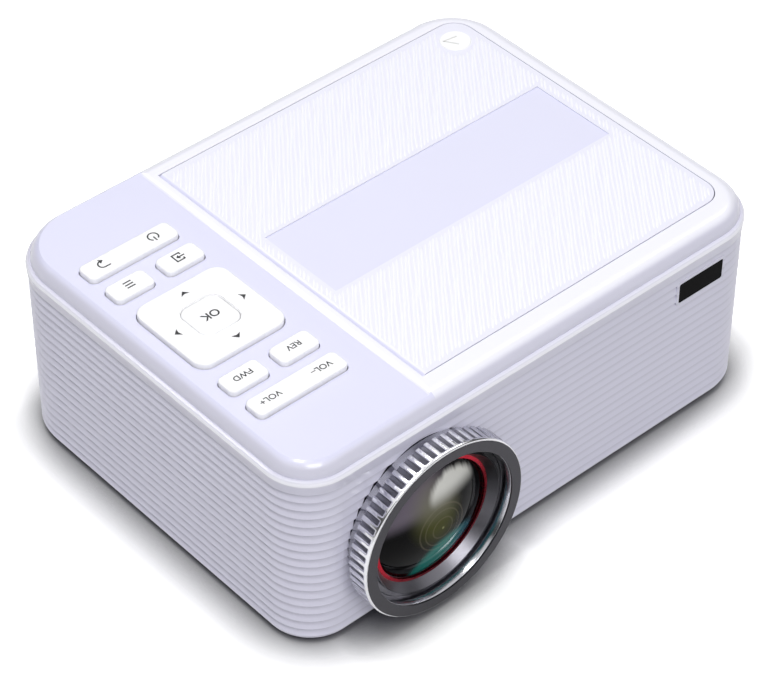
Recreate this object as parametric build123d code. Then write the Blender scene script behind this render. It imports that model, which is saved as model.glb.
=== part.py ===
from build123d import *
from math import cos, pi, radians, sin, sqrt
import os

os.makedirs("parts", exist_ok=True)

# A small home projector with a top-loading disc player. Millimetres, +Z up. The origin is on the table,
# within a millimetre of the middle of the overall footprint. The lens looks along -Y and the disc lid is
# on the +X side.

# ---------------------------------------------------------------- driving dimensions
BODY_W = 224.6
BODY_D = 169.2
LENS_REACH = 12.8
LEFT_X = -113.2
RIGHT_X = LEFT_X + BODY_W
FRONT_Y = -79.0
BACK_Y = FRONT_Y + BODY_D
BODY_MID_Y = (FRONT_Y + BACK_Y) / 2
# the corner beside the lens is the tightest of the four
LENS_CORNER_R = 18.5
FRONT_RIGHT_R = 22.0
BACK_RIGHT_R = 24.0
BACK_LEFT_R = 26.0

BASE_Z = 1.8
FLOOR_Z = 4.2
SEAM_Z = 78.6
TOP_Z = 85.0
WALL_INSET = 3.1

RIB_FIRST_Z = 6.5
RIB_PITCH = 3.86
RIB_COUNT = 17
RIB_CREST_INSET = 0.5
RIB_GROOVE_INSET = 1.5
RIB_STEP = 0.9

COVER_INSET = 1.9
COVER_WALL = 2.4
COVER_PLATE = 2.4
SHOULDER_R = 6.2
PANEL_Z = 84.4
PANEL_END_X = -51.9
PANEL_SLOPE_X = -49.9

# the groove between lid and cover, measured on its centre line
GROOVE_X0 = -47.6
GROOVE_X1 = 100.35
GROOVE_Y0 = -65.7
GROOVE_Y1 = 78.6
GROOVE_R = 8.4
GROOVE_HALF = 0.2
LID_MID_X = (GROOVE_X0 + GROOVE_X1) / 2
LID_MID_Y = (GROOVE_Y0 + GROOVE_Y1) / 2
LID_PLATE = 2.2
LID_SKIRT = 3.8
BARREL_R = 2.0
PIN_R = 1.0
RUN_GAP = 0.05
HINGE_X = GROOVE_X0 + GROOVE_HALF + BARREL_R
HINGE_Z = TOP_Z - BARREL_R

DECK_TOP_Z = 79.2
DECK_PLATE = 2.0
WELL_R = 62.0
WELL_FLOOR_Z = 73.4
WELL_WALL = 1.6
DISC_PLANE_Z = 75.0

LENS_X = -59.9
LENS_Z = 38.77
RING_FACE_Y = FRONT_Y - LENS_REACH
TUBE_R = 30.5
TUBE_BORE_R = 28.6

KEY_X = -82.8
KEY_TOP_Z = 86.5
KEY_GAP = 0.35
KEY_FLANGE = 0.9
KEY_FLANGE_LOW_Z = 80.8
KEY_FLANGE_TOP_Z = 81.3
KEY_W = 39.6
KEY_ROW = 9.4
SMALL_KEY_W = 17.0
SMALL_KEY_OFFSET = (KEY_W - SMALL_KEY_W) / 2
POWER_Y = 50.9
MENU_Y = 36.0
PAD_Y = 5.1
TRACK_Y = -26.4
VOLUME_Y = -41.2
OK_W = 17.2

BOARD_Z = 12.0
BOARD_T = 1.6

SCREW_SPOTS = [(-99, -63), (-99, 76), (15, -70.5), (88, -70.5), (15, 83.1), (88, 83.1)]
BOSS_TOP_Z = 16.0
COUNTERBORE_Z = 6.8
SCREW_R = 1.3


# ---------------------------------------------------------------- helpers
def save(shape, name):
    """Write one piece of the product."""
    export_step(shape, f"parts/{name}.step")


def box(x0, x1, y0, y1, z0, z1):
    """A block given by its two corners."""
    block = Box(x1 - x0, y1 - y0, z1 - z0)
    return Pos((x0 + x1) / 2, (y0 + y1) / 2, (z0 + z1) / 2) * block


def rod(axis, radius, start, end, a, b):
    """A round bar along X, Y or Z from start to end; a and b are its other two coordinates in order."""
    bar = Cylinder(radius, end - start)
    middle = (start + end) / 2
    if axis == "X":
        return Pos(middle, a, b) * Rot(0, 90, 0) * bar
    if axis == "Y":
        return Pos(a, middle, b) * Rot(90, 0, 0) * bar
    return Pos(a, b, middle) * bar


def plan(inset, z):
    """The body's rounded outline, drawn inwards by inset, at height z."""
    x0 = LEFT_X + inset
    x1 = RIGHT_X - inset
    y0 = FRONT_Y + inset
    y1 = BACK_Y - inset
    lens = LENS_CORNER_R - inset
    front = FRONT_RIGHT_R - inset
    back = BACK_RIGHT_R - inset
    left = BACK_LEFT_R - inset
    edges = [
        Line((x0 + lens, y0), (x1 - front, y0)),
        CenterArc((x1 - front, y0 + front), front, 270, 90),
        Line((x1, y0 + front), (x1, y1 - back)),
        CenterArc((x1 - back, y1 - back), back, 0, 90),
        Line((x1 - back, y1), (x0 + left, y1)),
        CenterArc((x0 + left, y1 - left), left, 90, 90),
        Line((x0, y1 - left), (x0, y0 + lens)),
        CenterArc((x0 + lens, y0 + lens), lens, 180, 90),
    ]
    return Pos(0, 0, z) * make_face(Curve() + edges)


def slab(inset, z0, z1):
    """A prism of the body's outline."""
    return extrude(plan(inset, z0), amount=z1 - z0)


def rounded_block(cx, cy, width, depth, radius, z0, z1):
    """An upright prism with rounded corners."""
    return extrude(Pos(cx, cy, z0) * RectangleRounded(width, depth, radius), amount=z1 - z0)


def turned(points, axis_y=None, centre=(0, 0)):
    """Revolve (radius, height) points about an upright axis, or about the lens axis along Y."""
    face = make_face(Polyline(*[(r, 0, h) for r, h in points], close=True))
    solid = revolve(face, Axis.Z)
    if axis_y is None:
        return Pos(centre[0], centre[1], 0) * solid
    return Pos(LENS_X, axis_y, LENS_Z) * Rot(90, 0, 0) * solid


def lid_outline(grow, z):
    """The lid's outline: square corners on the hinge side and round ones on the opening side."""
    x0 = GROOVE_X0 - grow
    x1 = GROOVE_X1 + grow
    y0 = GROOVE_Y0 - grow
    y1 = GROOVE_Y1 + grow
    r = GROOVE_R + grow
    k = r * (1 - sqrt(0.5))
    edges = [
        Line((x0, y0), (x1 - r, y0)),
        ThreePointArc((x1 - r, y0), (x1 - k, y0 + k), (x1, y0 + r)),
        Line((x1, y0 + r), (x1, y1 - r)),
        ThreePointArc((x1, y1 - r), (x1 - k, y1 - k), (x1 - r, y1)),
        Line((x1 - r, y1), (x0, y1)),
        Line((x0, y1), (x0, y0)),
    ]
    return Pos(0, 0, z) * make_face(Curve() + edges)


# ---------------------------------------------------------------- lower shell
VENT_FIRST_Y = -57.2
VENT_PITCH = 8.92
VENT_COLUMNS = 14
VENT_ROWS = 12
VENT_LENGTH = 6.2
VENT_HEIGHT = 1.2
SPEAKER_Y = -12.0
SPEAKER_COLUMNS = 6
SPEAKER_ROWS = 8
SPEAKER_FIRST_ROW = 2

IR_X0 = 65.8
IR_X1 = 88.2
IR_Z0 = 60.0
IR_Z1 = 68.9
IR_PATCH = 1.2
IR_CORNER_R = 0.8
IR_FIT = 0.05
IR_MID_X = (IR_X0 + IR_X1) / 2
IR_MID_Z = (IR_Z0 + IR_Z1) / 2

PORT_Z = 17.5
INLET_X = 70.0
INLET_Z = 24.0
HDMI_X = 46.0
USB_X = 29.0
# how far the contact tongues stand back from the mouths of their sockets
TONGUE_BACK = 3.6
JACK_XS = {"audio_video_jack": 0.0, "headphone_jack": -13.0}
JACK_R = 1.8
JACK_BUSH_R = 3.4

FOOT_R = 6.5
FOOT_SPOTS = [(x, BODY_MID_Y + y) for x in (-88, 88) for y in (-60, 60)]
FOOT_SEAT_Z = 2.8
INSERT_R = 4.6
INSERT_BORE_R = 2.55
INSERT_TOP_Z = 12.0


def rib_groove_z(index):
    return RIB_FIRST_Z + RIB_PITCH * index


def shell_skin():
    """The tub's outside: plain foot band, ribs like narrow clapboards, and the smooth rim bead."""
    bead_z = rib_groove_z(RIB_COUNT)
    steps = [
        (BASE_Z, 2.6),
        (BASE_Z + 0.7, 1.2),
        (BASE_Z + 2.2, RIB_CREST_INSET),
    ]
    for index in range(RIB_COUNT):
        steps.append((rib_groove_z(index), RIB_GROOVE_INSET))
        steps.append((rib_groove_z(index) + RIB_STEP, RIB_CREST_INSET))
    steps += [
        (bead_z, RIB_GROOVE_INSET),
        (bead_z + 0.8, 0.4),
        (SEAM_Z - 2.6, 0.1),
        (SEAM_Z - 1.6, 0.0),
        (SEAM_Z - 0.9, 0.25),
        (SEAM_Z - 0.3, 0.7),
        (SEAM_Z, 1.4),
    ]
    return loft([plan(inset, z) for z, inset in steps], ruled=True)


def slot_grid(x0, x1, first_y, columns, first_row, rows):
    """Short slots in the rib grooves of a side wall."""
    half_y = VENT_LENGTH / 2
    half_z = VENT_HEIGHT / 2
    slots = []
    for column in range(columns):
        y = first_y + column * VENT_PITCH
        for row in range(first_row, first_row + rows):
            z = rib_groove_z(row)
            slots.append(box(x0, x1, y - half_y, y + half_y, z - half_z, z + half_z))
    return slots


def lower_shell():
    shell = shell_skin()
    patch = rounded_block(
        IR_MID_X, IR_MID_Z, IR_X1 - IR_X0 + 2 * IR_PATCH, IR_Z1 - IR_Z0 + 2 * IR_PATCH, 1.5, 0, 3
    )
    shell += Pos(0, FRONT_Y + RIB_CREST_INSET + 3, 0) * Rot(90, 0, 0) * patch
    shell -= slab(WALL_INSET, FLOOR_Z, SEAM_Z + 1)
    for x, y in SCREW_SPOTS:
        shell += rod("Z", 5.0, FLOOR_Z, BOSS_TOP_Z, x, y) & slab(1.5, 0, SEAM_Z)
    for x, y in BOARD_POSTS:
        shell += rod("Z", 2.5, FLOOR_Z, BOARD_Z, x, y)
    for x in (LENS_X - 20, LENS_X + 20):
        shell += box(x - 3, x + 3, -40, 30, FLOOR_Z, ENGINE_Z0)
    shell += rod("Z", INSERT_R + 2, FLOOR_Z, INSERT_TOP_Z + 2, 0, 0)

    cuts = slot_grid(LEFT_X - 1, LEFT_X + 6, VENT_FIRST_Y, VENT_COLUMNS, 0, VENT_ROWS)
    speaker_first_y = SPEAKER_Y - VENT_PITCH * (SPEAKER_COLUMNS - 1) / 2
    cuts += slot_grid(
        RIGHT_X - 6, RIGHT_X + 1, speaker_first_y, SPEAKER_COLUMNS, SPEAKER_FIRST_ROW, SPEAKER_ROWS
    )
    cuts.append(rod("Y", NECK_R + 0.6, FRONT_Y - 1, FRONT_Y + 8, LENS_X, LENS_Z))
    window = rounded_block(IR_MID_X, IR_MID_Z, IR_X1 - IR_X0, IR_Z1 - IR_Z0, IR_CORNER_R, 0, 7)
    cuts.append(Pos(0, FRONT_Y + 6, 0) * Rot(90, 0, 0) * window)
    cuts.append(box(INLET_X - 12, INLET_X + 12, BACK_Y - 8, BACK_Y + 1, INLET_Z - 9, INLET_Z + 9))
    cuts.append(box(HDMI_X - 8, HDMI_X + 8, BACK_Y - 8, BACK_Y + 1, PORT_Z - 3.4, PORT_Z + 3.4))
    cuts.append(box(USB_X - 7, USB_X + 7, BACK_Y - 8, BACK_Y + 1, PORT_Z - 3.4, PORT_Z + 3.4))
    for x in JACK_XS.values():
        cuts.append(rod("Y", JACK_BUSH_R + 0.2, BACK_Y - 8, BACK_Y + 1, x, PORT_Z))
    for x, y in SCREW_SPOTS:
        cuts.append(rod("Z", 3.4, 0, COUNTERBORE_Z, x, y))
        cuts.append(rod("Z", SCREW_R + 0.4, COUNTERBORE_Z - 1, BOSS_TOP_Z + 1, x, y))
    for x, y in FOOT_SPOTS:
        cuts.append(rod("Z", FOOT_R, 0, FOOT_SEAT_Z, x, y))
    cuts.append(rod("Z", INSERT_R, 0, INSERT_TOP_Z, 0, 0))
    return shell - cuts


# ---------------------------------------------------------------- top cover
def key_plans():
    """Name, centre and size of every key opening in the panel: (name, x, y, width, depth, corner radius)."""
    left = KEY_X - SMALL_KEY_OFFSET
    right = KEY_X + SMALL_KEY_OFFSET
    return [
        ("power_bar", KEY_X, POWER_Y, KEY_W, KEY_ROW, 2.4),
        ("menu_key", left, MENU_Y, SMALL_KEY_W, KEY_ROW, 2.4),
        ("source_key", right, MENU_Y, SMALL_KEY_W, KEY_ROW, 2.4),
        ("direction_pad", KEY_X, PAD_Y, KEY_W, KEY_W, 5.6),
        ("forward_key", left, TRACK_Y, SMALL_KEY_W, KEY_ROW, 2.4),
        ("reverse_key", right, TRACK_Y, SMALL_KEY_W, KEY_ROW, 2.4),
        ("volume_bar", KEY_X, VOLUME_Y, KEY_W, KEY_ROW, 2.4),
    ]


def top_cover():
    cover = slab(COVER_INSET, SEAM_Z, TOP_Z)
    cover = fillet(cover.faces().sort_by(Axis.Z)[-1].edges(), SHOULDER_R)
    # the key panel is a shallow flat, with a soft slope up to the strip beside the lid
    panel = Polyline(
        (LEFT_X, PANEL_Z),
        (PANEL_END_X, PANEL_Z),
        (PANEL_SLOPE_X, TOP_Z),
        (PANEL_SLOPE_X, TOP_Z + 5),
        (LEFT_X, TOP_Z + 5),
        close=True,
    )
    cover -= extrude(Plane.XZ * make_face(panel), amount=BODY_D, both=True)

    inner = slab(COVER_INSET + COVER_WALL, SEAM_Z - 1, TOP_Z - COVER_PLATE)
    inner = fillet(inner.faces().sort_by(Axis.Z)[-1].edges(), SHOULDER_R - COVER_WALL)
    inner -= box(LEFT_X, RIGHT_X, -BODY_D, BODY_D, TOP_Z - COVER_PLATE, TOP_Z)
    cover -= inner
    pocket = slab(SHOULDER_R + COVER_WALL, TOP_Z - 4, PANEL_Z - 2.0)
    cover -= pocket & box(LEFT_X, PANEL_END_X, -BODY_D, BODY_D, TOP_Z - 5, TOP_Z)

    # locating lip inside the lower shell
    lip = slab(WALL_INSET + 0.2, SEAM_Z - 2.6, SEAM_Z + 0.8) - slab(COVER_INSET + COVER_WALL, 70, TOP_Z)
    cover += lip

    # collar round the lid opening, down to the deck, with the two hinge bosses
    collar = extrude(lid_outline(GROOVE_HALF + 1.6, DECK_TOP_Z), amount=TOP_Z - 1.5 - DECK_TOP_Z)
    cover += collar
    for y0, y1 in ((GROOVE_Y0 - 6.2, GROOVE_Y0), (GROOVE_Y1, GROOVE_Y1 + 6.2)):
        cover += box(HINGE_X - 3.5, HINGE_X + 3.5, y0, y1, DECK_TOP_Z + 0.6, TOP_Z - 1.5)
    for x, y in SCREW_SPOTS:
        cover += rod("Z", 3.6, BOSS_TOP_Z, PANEL_Z - 1.2, x, y)

    cover -= extrude(lid_outline(GROOVE_HALF, DECK_TOP_Z - 1), amount=TOP_Z + 2 - DECK_TOP_Z)
    cuts = [rod("Y", PIN_R + RUN_GAP, GROOVE_Y0 - 4.6, GROOVE_Y1 + 4.6, HINGE_X, HINGE_Z)]
    for name, x, y, width, depth, radius in key_plans():
        cuts.append(
            rounded_block(x, y, width + 2 * KEY_GAP, depth + 2 * KEY_GAP, radius + KEY_GAP, 78, TOP_Z + 1)
        )
    for x, y in SCREW_SPOTS:
        cuts.append(rod("Z", SCREW_R, BOSS_TOP_Z - 1, BOSS_TOP_Z + 9, x, y))
    return cover - cuts


# ---------------------------------------------------------------- disc lid and its hinge
BAND_X0 = -41.0
BAND_X1 = 93.7
BAND_Y0 = -13.0
BAND_Y1 = 25.7
BAND_DEPTH = 0.5
PUSH_X = 89.8
PUSH_Y = 67.4
PUSH_R = 6.2
HOOK_X = 92.0
HOOK_Y = 56.0


def disc_lid():
    r = BARREL_R
    x1 = GROOVE_X1 - GROOVE_HALF
    section = Curve() + [
        ThreePointArc((HINGE_X, HINGE_Z - r), (HINGE_X - r, HINGE_Z), (HINGE_X, HINGE_Z + r)),
        Line((HINGE_X, TOP_Z), (x1, TOP_Z)),
        Line((x1, TOP_Z), (x1, TOP_Z - LID_SKIRT)),
        Line((x1, TOP_Z - LID_SKIRT), (HINGE_X, TOP_Z - LID_SKIRT)),
        Line((HINGE_X, TOP_Z - LID_SKIRT), (HINGE_X, HINGE_Z - r)),
    ]
    lid = extrude(Plane.XZ * make_face(section), amount=BODY_D, both=True)
    lid &= extrude(lid_outline(-GROOVE_HALF, 70), amount=30)
    hollow_w = GROOVE_X1 - GROOVE_X0 - 6.5
    hollow_d = GROOVE_Y1 - GROOVE_Y0 - 3.6
    lid -= rounded_block(LID_MID_X + 1.2, LID_MID_Y, hollow_w, hollow_d, 7, 70, TOP_Z - LID_PLATE)
    lid -= box(BAND_X0, BAND_X1, BAND_Y0, BAND_Y1, TOP_Z - BAND_DEPTH, TOP_Z + 1)
    mark = rod("Z", PUSH_R, TOP_Z - 0.2, TOP_Z + 0.4, PUSH_X, PUSH_Y)
    mark = chamfer(mark.faces().sort_by(Axis.Z)[-1].edges(), 0.3)
    for angle in (-9, -58):
        stroke = Pos(3.1, 0, TOP_Z + 0.4) * Box(6.4, 0.7, 0.4)
        mark -= Pos(PUSH_X - 3.85, PUSH_Y + 2.65, 0) * Rot(0, 0, angle) * stroke
    lid += mark
    # latch hook that drops through the deck
    lid += box(HOOK_X - 1.2, HOOK_X + 1.2, HOOK_Y - 3, HOOK_Y + 3, 74.4, TOP_Z - LID_PLATE + 0.2)
    lid += box(HOOK_X - 1.2, HOOK_X + 2.4, HOOK_Y - 3, HOOK_Y + 3, 74.4, 75.6)
    for y in (GROOVE_Y0 + GROOVE_HALF, GROOVE_Y1 - GROOVE_HALF):
        lid -= rod("Y", PIN_R, y - 5, y + 5, HINGE_X, HINGE_Z)
    return lid


def lid_hinge_pins():
    pins = []
    for y in (GROOVE_Y0 + GROOVE_HALF, GROOVE_Y1 - GROOVE_HALF):
        inwards = 1 if y < 0 else -1
        ends = sorted((y + 5 * inwards, y - 4 * inwards))
        pins.append(rod("Y", PIN_R, ends[0], ends[1], HINGE_X, HINGE_Z))
    return Compound(children=pins)


# ---------------------------------------------------------------- deck and disc drive
DECK_X0 = -50.0
DECK_X1 = 103.0
DECK_Y0 = -66.5
DECK_Y1 = 79.4
SPINDLE_X = LID_MID_X
SPINDLE_Y = LID_MID_Y
FRAME_Z0 = 60.0
FRAME_Z1 = 62.0
FRAME_X0 = -12.0
FRAME_X1 = 104.0
FRAME_HALF_Y = 33.0
DAMPER_SPOTS = [(x, SPINDLE_Y + y) for x in (-6, 93) for y in (-28, 28)]
DAMPER_BORE_R = 2.0
DAMPER_WAIST_R = 3.2
DAMPER_R = 4.5
SLED_REST_X = SPINDLE_X + 24.0
SLED_TRAVEL = 34.0
SLED_HALF_X = 11.5
SLED_HALF_Y = 20.0
ROD_OFFSET = 16.5
ROD_R = 1.5
ROD_Z = 67.0
SCREW_Y = SPINDLE_Y - 22.5
SCREW_Z = 66.6
RAIL_X0 = 31.0
RAIL_X1 = 101.0
PLATFORM_R = 15.0
HUB_R = 7.3


def disc_deck():
    deck = box(DECK_X0, DECK_X1, DECK_Y0, DECK_Y1, DECK_TOP_Z - DECK_PLATE, DECK_TOP_Z)
    deck = fillet(deck.edges().filter_by(Axis.Z), 4)
    well_low = WELL_FLOOR_Z - WELL_WALL
    deck += rod("Z", WELL_R + WELL_WALL, well_low, DECK_TOP_Z, SPINDLE_X, SPINDLE_Y)
    deck -= rod("Z", WELL_R, WELL_FLOOR_Z, DECK_TOP_Z + 1, SPINDLE_X, SPINDLE_Y)
    # finger scoops at the rim of the well, closed by their own floor
    for angle in (-50, 130):
        x = SPINDLE_X + (WELL_R - 2) * cos(radians(angle))
        y = SPINDLE_Y + (WELL_R - 2) * sin(radians(angle))
        deck += rod("Z", 11.5, well_low, DECK_TOP_Z, x, y)
        deck -= rod("Z", 10, WELL_FLOOR_Z, DECK_TOP_Z + 1, x, y)
    deck -= rod("Z", WELL_R, WELL_FLOOR_Z, DECK_TOP_Z + 1, SPINDLE_X, SPINDLE_Y)
    # raised ring on which nothing rubs but the rim of the disc
    ring = rod("Z", 59, WELL_FLOOR_Z, WELL_FLOOR_Z + 0.6, SPINDLE_X, SPINDLE_Y)
    ring -= rod("Z", 57.5, WELL_FLOOR_Z - 1, WELL_FLOOR_Z + 1, SPINDLE_X, SPINDLE_Y)
    deck += ring
    for x, y in DAMPER_SPOTS:
        deck += rod("Z", DAMPER_BORE_R, FRAME_Z0 - 3, well_low if x < 90 else DECK_TOP_Z - DECK_PLATE, x, y)
    cuts = [
        rod("Z", PLATFORM_R + 2, 70, 80, SPINDLE_X, SPINDLE_Y),
        rounded_block(SPINDLE_X + 36, SPINDLE_Y, 52, 30, 6, 70, 80),
        box(HOOK_X - 3.5, HOOK_X + 4.5, HOOK_Y - 4.5, HOOK_Y + 4.5, 70, 80),
    ]
    return deck - cuts


def traverse_frame():
    """Stiff plate that carries the spindle, the rails and the feed screw on four rubber dampers."""
    frame = rounded_block(
        (FRAME_X0 + FRAME_X1) / 2, SPINDLE_Y, FRAME_X1 - FRAME_X0, 2 * FRAME_HALF_Y, 5, FRAME_Z0, FRAME_Z1
    )
    window_mid = SPINDLE_X + 42
    frame -= rounded_block(window_mid, SPINDLE_Y, 50, 26, 4, FRAME_Z0 - 1, FRAME_Z1 + 1)
    frame -= rounded_block(-1, SPINDLE_Y, 12, 34, 3, FRAME_Z0 - 1, FRAME_Z1 + 1)
    for y in (SPINDLE_Y - ROD_OFFSET, SPINDLE_Y + ROD_OFFSET):
        for x in (RAIL_X0, RAIL_X1 - 3):
            frame += box(x, x + 3, y - 3, y + 3, FRAME_Z1, ROD_Z + 3)
    frame += box(RAIL_X1 - 3, RAIL_X1, SCREW_Y - 3, SCREW_Y + 3, FRAME_Z1, SCREW_Z + 3)
    frame += box(RAIL_X0, RAIL_X0 + 3, SCREW_Y - 5.5, SCREW_Y + 4.5, FRAME_Z1, SCREW_Z + 5)
    for y in (SPINDLE_Y - ROD_OFFSET, SPINDLE_Y + ROD_OFFSET):
        frame -= rod("X", ROD_R, RAIL_X0 - 1, RAIL_X1 + 1, y, ROD_Z)
    frame -= rod("X", ROD_R + RUN_GAP, RAIL_X0 - 1, RAIL_X1 + 1, SCREW_Y, SCREW_Z)
    for x, y in DAMPER_SPOTS:
        frame -= rod("Z", DAMPER_WAIST_R, FRAME_Z0 - 1, FRAME_Z1 + 1, x, y)
    return frame


def rubber_dampers():
    profile = [
        (DAMPER_BORE_R, FRAME_Z0 - 2),
        (DAMPER_R, FRAME_Z0 - 2),
        (DAMPER_R, FRAME_Z0),
        (DAMPER_WAIST_R, FRAME_Z0),
        (DAMPER_WAIST_R, FRAME_Z1),
        (DAMPER_R, FRAME_Z1),
        (DAMPER_R, FRAME_Z1 + 2),
        (DAMPER_BORE_R, FRAME_Z1 + 2),
    ]
    return Compound(children=[turned(profile, centre=spot) for spot in DAMPER_SPOTS])


def guide_rods():
    ys = (SPINDLE_Y - ROD_OFFSET, SPINDLE_Y + ROD_OFFSET)
    return Compound(children=[rod("X", ROD_R, RAIL_X0, RAIL_X1, y, ROD_Z) for y in ys])


def spindle_motor():
    motor = turned(
        [(1.25, 62), (12, 62), (12, 69.5), (11, 70.8), (4.5, 70.8), (4.5, 72.0), (1.25, 72.0)],
        centre=(SPINDLE_X, SPINDLE_Y),
    )
    return motor


def turntable():
    """Platform, centring hub and shaft, with three snap teeth that hold the disc."""
    profile = [
        (0, 62.4),
        (1.2, 62.4),
        (1.2, 72.4),
        (5, 72.4),
        (5, 73.4),
        (PLATFORM_R - 0.6, 73.4),
        (PLATFORM_R, 74.0),
        (PLATFORM_R, DISC_PLANE_Z),
        (HUB_R, DISC_PLANE_Z),
        (HUB_R, 76.6),
        (HUB_R - 1.0, 77.8),
        (0, 77.8),
    ]
    table = turned(profile, centre=(SPINDLE_X, SPINDLE_Y))
    for index in range(3):
        tooth = Pos(HUB_R - 0.2, 0, 76.9) * Rot(0, 20, 0) * Box(1.4, 2.6, 0.9)
        slit = Pos(HUB_R - 3.2, 0, 77.4) * Box(3.4, 3.6, 1.2)
        turn = Pos(SPINDLE_X, SPINDLE_Y, 0) * Rot(0, 0, 120 * index)
        table -= turn * slit
        table += turn * tooth
    return table


def feed_motor():
    motor = rod("X", 4.6, 14, RAIL_X0, SCREW_Y, SCREW_Z)
    flat = box(0, 40, SCREW_Y - 10, SCREW_Y + 10, SCREW_Z + 3.8, SCREW_Z + 8)
    return motor - flat - rod("X", ROD_R + RUN_GAP, 24, 40, SCREW_Y, SCREW_Z)


def lead_screw():
    """Feed screw with its thread as a row of narrow collars."""
    screw = rod("X", 1.1, 25, RAIL_X1, SCREW_Y, SCREW_Z)
    screw += rod("X", ROD_R, 25, RAIL_X0 + 4, SCREW_Y, SCREW_Z)
    screw += rod("X", ROD_R, RAIL_X1 - 4, RAIL_X1, SCREW_Y, SCREW_Z)
    for index in range(20):
        x = RAIL_X0 + 5.5 + 3 * index
        screw += rod("X", ROD_R, x, x + 1.2, SCREW_Y, SCREW_Z)
    return screw


def pickup_sled():
    x0 = SLED_REST_X - SLED_HALF_X
    x1 = SLED_REST_X + SLED_HALF_X
    y0 = SPINDLE_Y - SLED_HALF_Y
    y1 = SPINDLE_Y + SLED_HALF_Y
    sled = box(x0, x1, y0, y1, 63.6, 69.6)
    sled = chamfer(sled.edges().filter_by(Axis.Z), 2.0)
    sled += rounded_block(SLED_REST_X, SPINDLE_Y, 18, 22, 2.5, 69.6, 71.2)
    sled -= rounded_block(SLED_REST_X, SPINDLE_Y, 15, 18, 2, 69.0, 72)
    sled += rod("Z", 4.2, 66, 71.8, SLED_REST_X, SPINDLE_Y)
    sled -= rod("Z", 2.6, 68, 73, SLED_REST_X, SPINDLE_Y)
    sled += box(SLED_REST_X - 5, SLED_REST_X + 5, SCREW_Y - 3, y0 + 1, 64, 69)
    for y in (SPINDLE_Y - ROD_OFFSET, SPINDLE_Y + ROD_OFFSET):
        sled -= rod("X", ROD_R + RUN_GAP, x0 - 1, x1 + 1, y, ROD_Z)
    sled -= rod("X", ROD_R + 0.1, x0 - 1, x1 + 1, SCREW_Y, SCREW_Z)
    return sled


def objective_lens():
    dome = turned(
        [(0, 69.4), (2.6, 69.4), (2.6, 71.4), (2.2, 72.0), (1.4, 72.5), (0, 72.7)],
        centre=(SLED_REST_X, SPINDLE_Y),
    )
    return dome


LATCH_X = 96.4


def latch_body():
    """Guide block under the deck that the sprung slider runs in."""
    block = box(LATCH_X - 4.4, LATCH_X + 6.0, HOOK_Y - 6, HOOK_Y + 6, 70.0, DECK_TOP_Z - DECK_PLATE)
    block -= box(LATCH_X - 6.0, LATCH_X + 4.4, HOOK_Y - 3.6, HOOK_Y + 3.6, 71.6, DECK_TOP_Z)
    return block


def latch_slider():
    slider = box(LATCH_X - 1.6, LATCH_X + 1.8, HOOK_Y - 3.3, HOOK_Y + 3.3, 71.9, 77.0)
    slider -= box(LATCH_X - 3.0, LATCH_X - 0.4, HOOK_Y - 4, HOOK_Y + 4, 71.0, 75.9)
    return slider


# ---------------------------------------------------------------- keys
def key_cap(x, y, width, depth, radius):
    cap = rounded_block(x, y, width, depth, radius, KEY_FLANGE_LOW_Z, KEY_TOP_Z)
    cap = fillet(cap.faces().sort_by(Axis.Z)[-1].edges(), 0.7)
    cap += rounded_block(
        x, y, width + 2 * KEY_FLANGE, depth + 2 * KEY_FLANGE, radius, KEY_FLANGE_LOW_Z, KEY_FLANGE_TOP_Z
    )
    return cap


def key_stem(x, y):
    return rod("Z", 1.5, KEY_FLANGE_LOW_Z - 0.8, KEY_FLANGE_LOW_Z, x, y)


def rocker_bar(x, y, width, depth, radius):
    bar = key_cap(x, y, width, depth, radius)
    for side in (-13, 13):
        bar += key_stem(x + side, y)
    return bar


def push_key(x, y, width, depth, radius):
    return key_cap(x, y, width, depth, radius) + key_stem(x, y)


def direction_pad(x, y, width, depth, radius):
    pad = key_cap(x, y, width, depth, radius)
    hole = OK_W + 0.9
    pad -= rounded_block(x, y, hole, hole, 4.7, 70, KEY_TOP_Z + 1)
    # small raised arrowheads, one for each way that the pad tilts
    for quarter in range(4):
        arrow = Polyline((-1.7, -0.9), (1.7, -0.9), (0, 1.0), close=True)
        head = extrude(Pos(0, 14.4, KEY_TOP_Z - 0.1) * make_face(arrow), amount=0.2)
        pad += Pos(x, y, 0) * Rot(0, 0, 90 * quarter) * head
    return pad


PAD_FRAME_Z = 79.2


def pad_frame():
    """Flat spring frame under the pad that lets it tilt two ways."""
    frame = rounded_block(KEY_X, PAD_Y, 34, 34, 4, PAD_FRAME_Z, PAD_FRAME_Z + 0.8)
    frame -= rounded_block(KEY_X, PAD_Y, 26, 26, 3, PAD_FRAME_Z - 1, PAD_FRAME_Z + 2)
    return frame


def ok_key():
    cap = rounded_block(KEY_X, PAD_Y, OK_W, OK_W, 4.3, 78.9, KEY_TOP_Z)
    cap = fillet(cap.faces().sort_by(Axis.Z)[-1].edges(), 0.7)
    return cap + rounded_block(KEY_X, PAD_Y, OK_W + 2, OK_W + 2, 4.3, 78.6, 79.2)


def key_board():
    """Switch board that hangs under the panel, with one tact switch under each key's end."""
    board = box(-105, -57, -58, 70, 72.4, 74.0)
    switches = [(KEY_X, PAD_Y)]
    for y in (POWER_Y, MENU_Y, TRACK_Y, VOLUME_Y):
        spread = 13 if y in (POWER_Y, VOLUME_Y) else SMALL_KEY_OFFSET
        switches += [(KEY_X - spread, y), (KEY_X + spread, y)]
    for quarter in range(4):
        switches.append((KEY_X + 15 * cos(quarter * pi / 2), PAD_Y + 15 * sin(quarter * pi / 2)))
    for x, y in switches:
        board += box(x - 3, x + 3, y - 3, y + 3, 74.0, 76.8)
        board += rod("Z", 1.7, 76.8, 77.4, x, y)
    for x, y in KEY_BOARD_POSTS:
        board -= rod("Z", 1.6, 72, 75, x, y)
    return board


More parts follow.
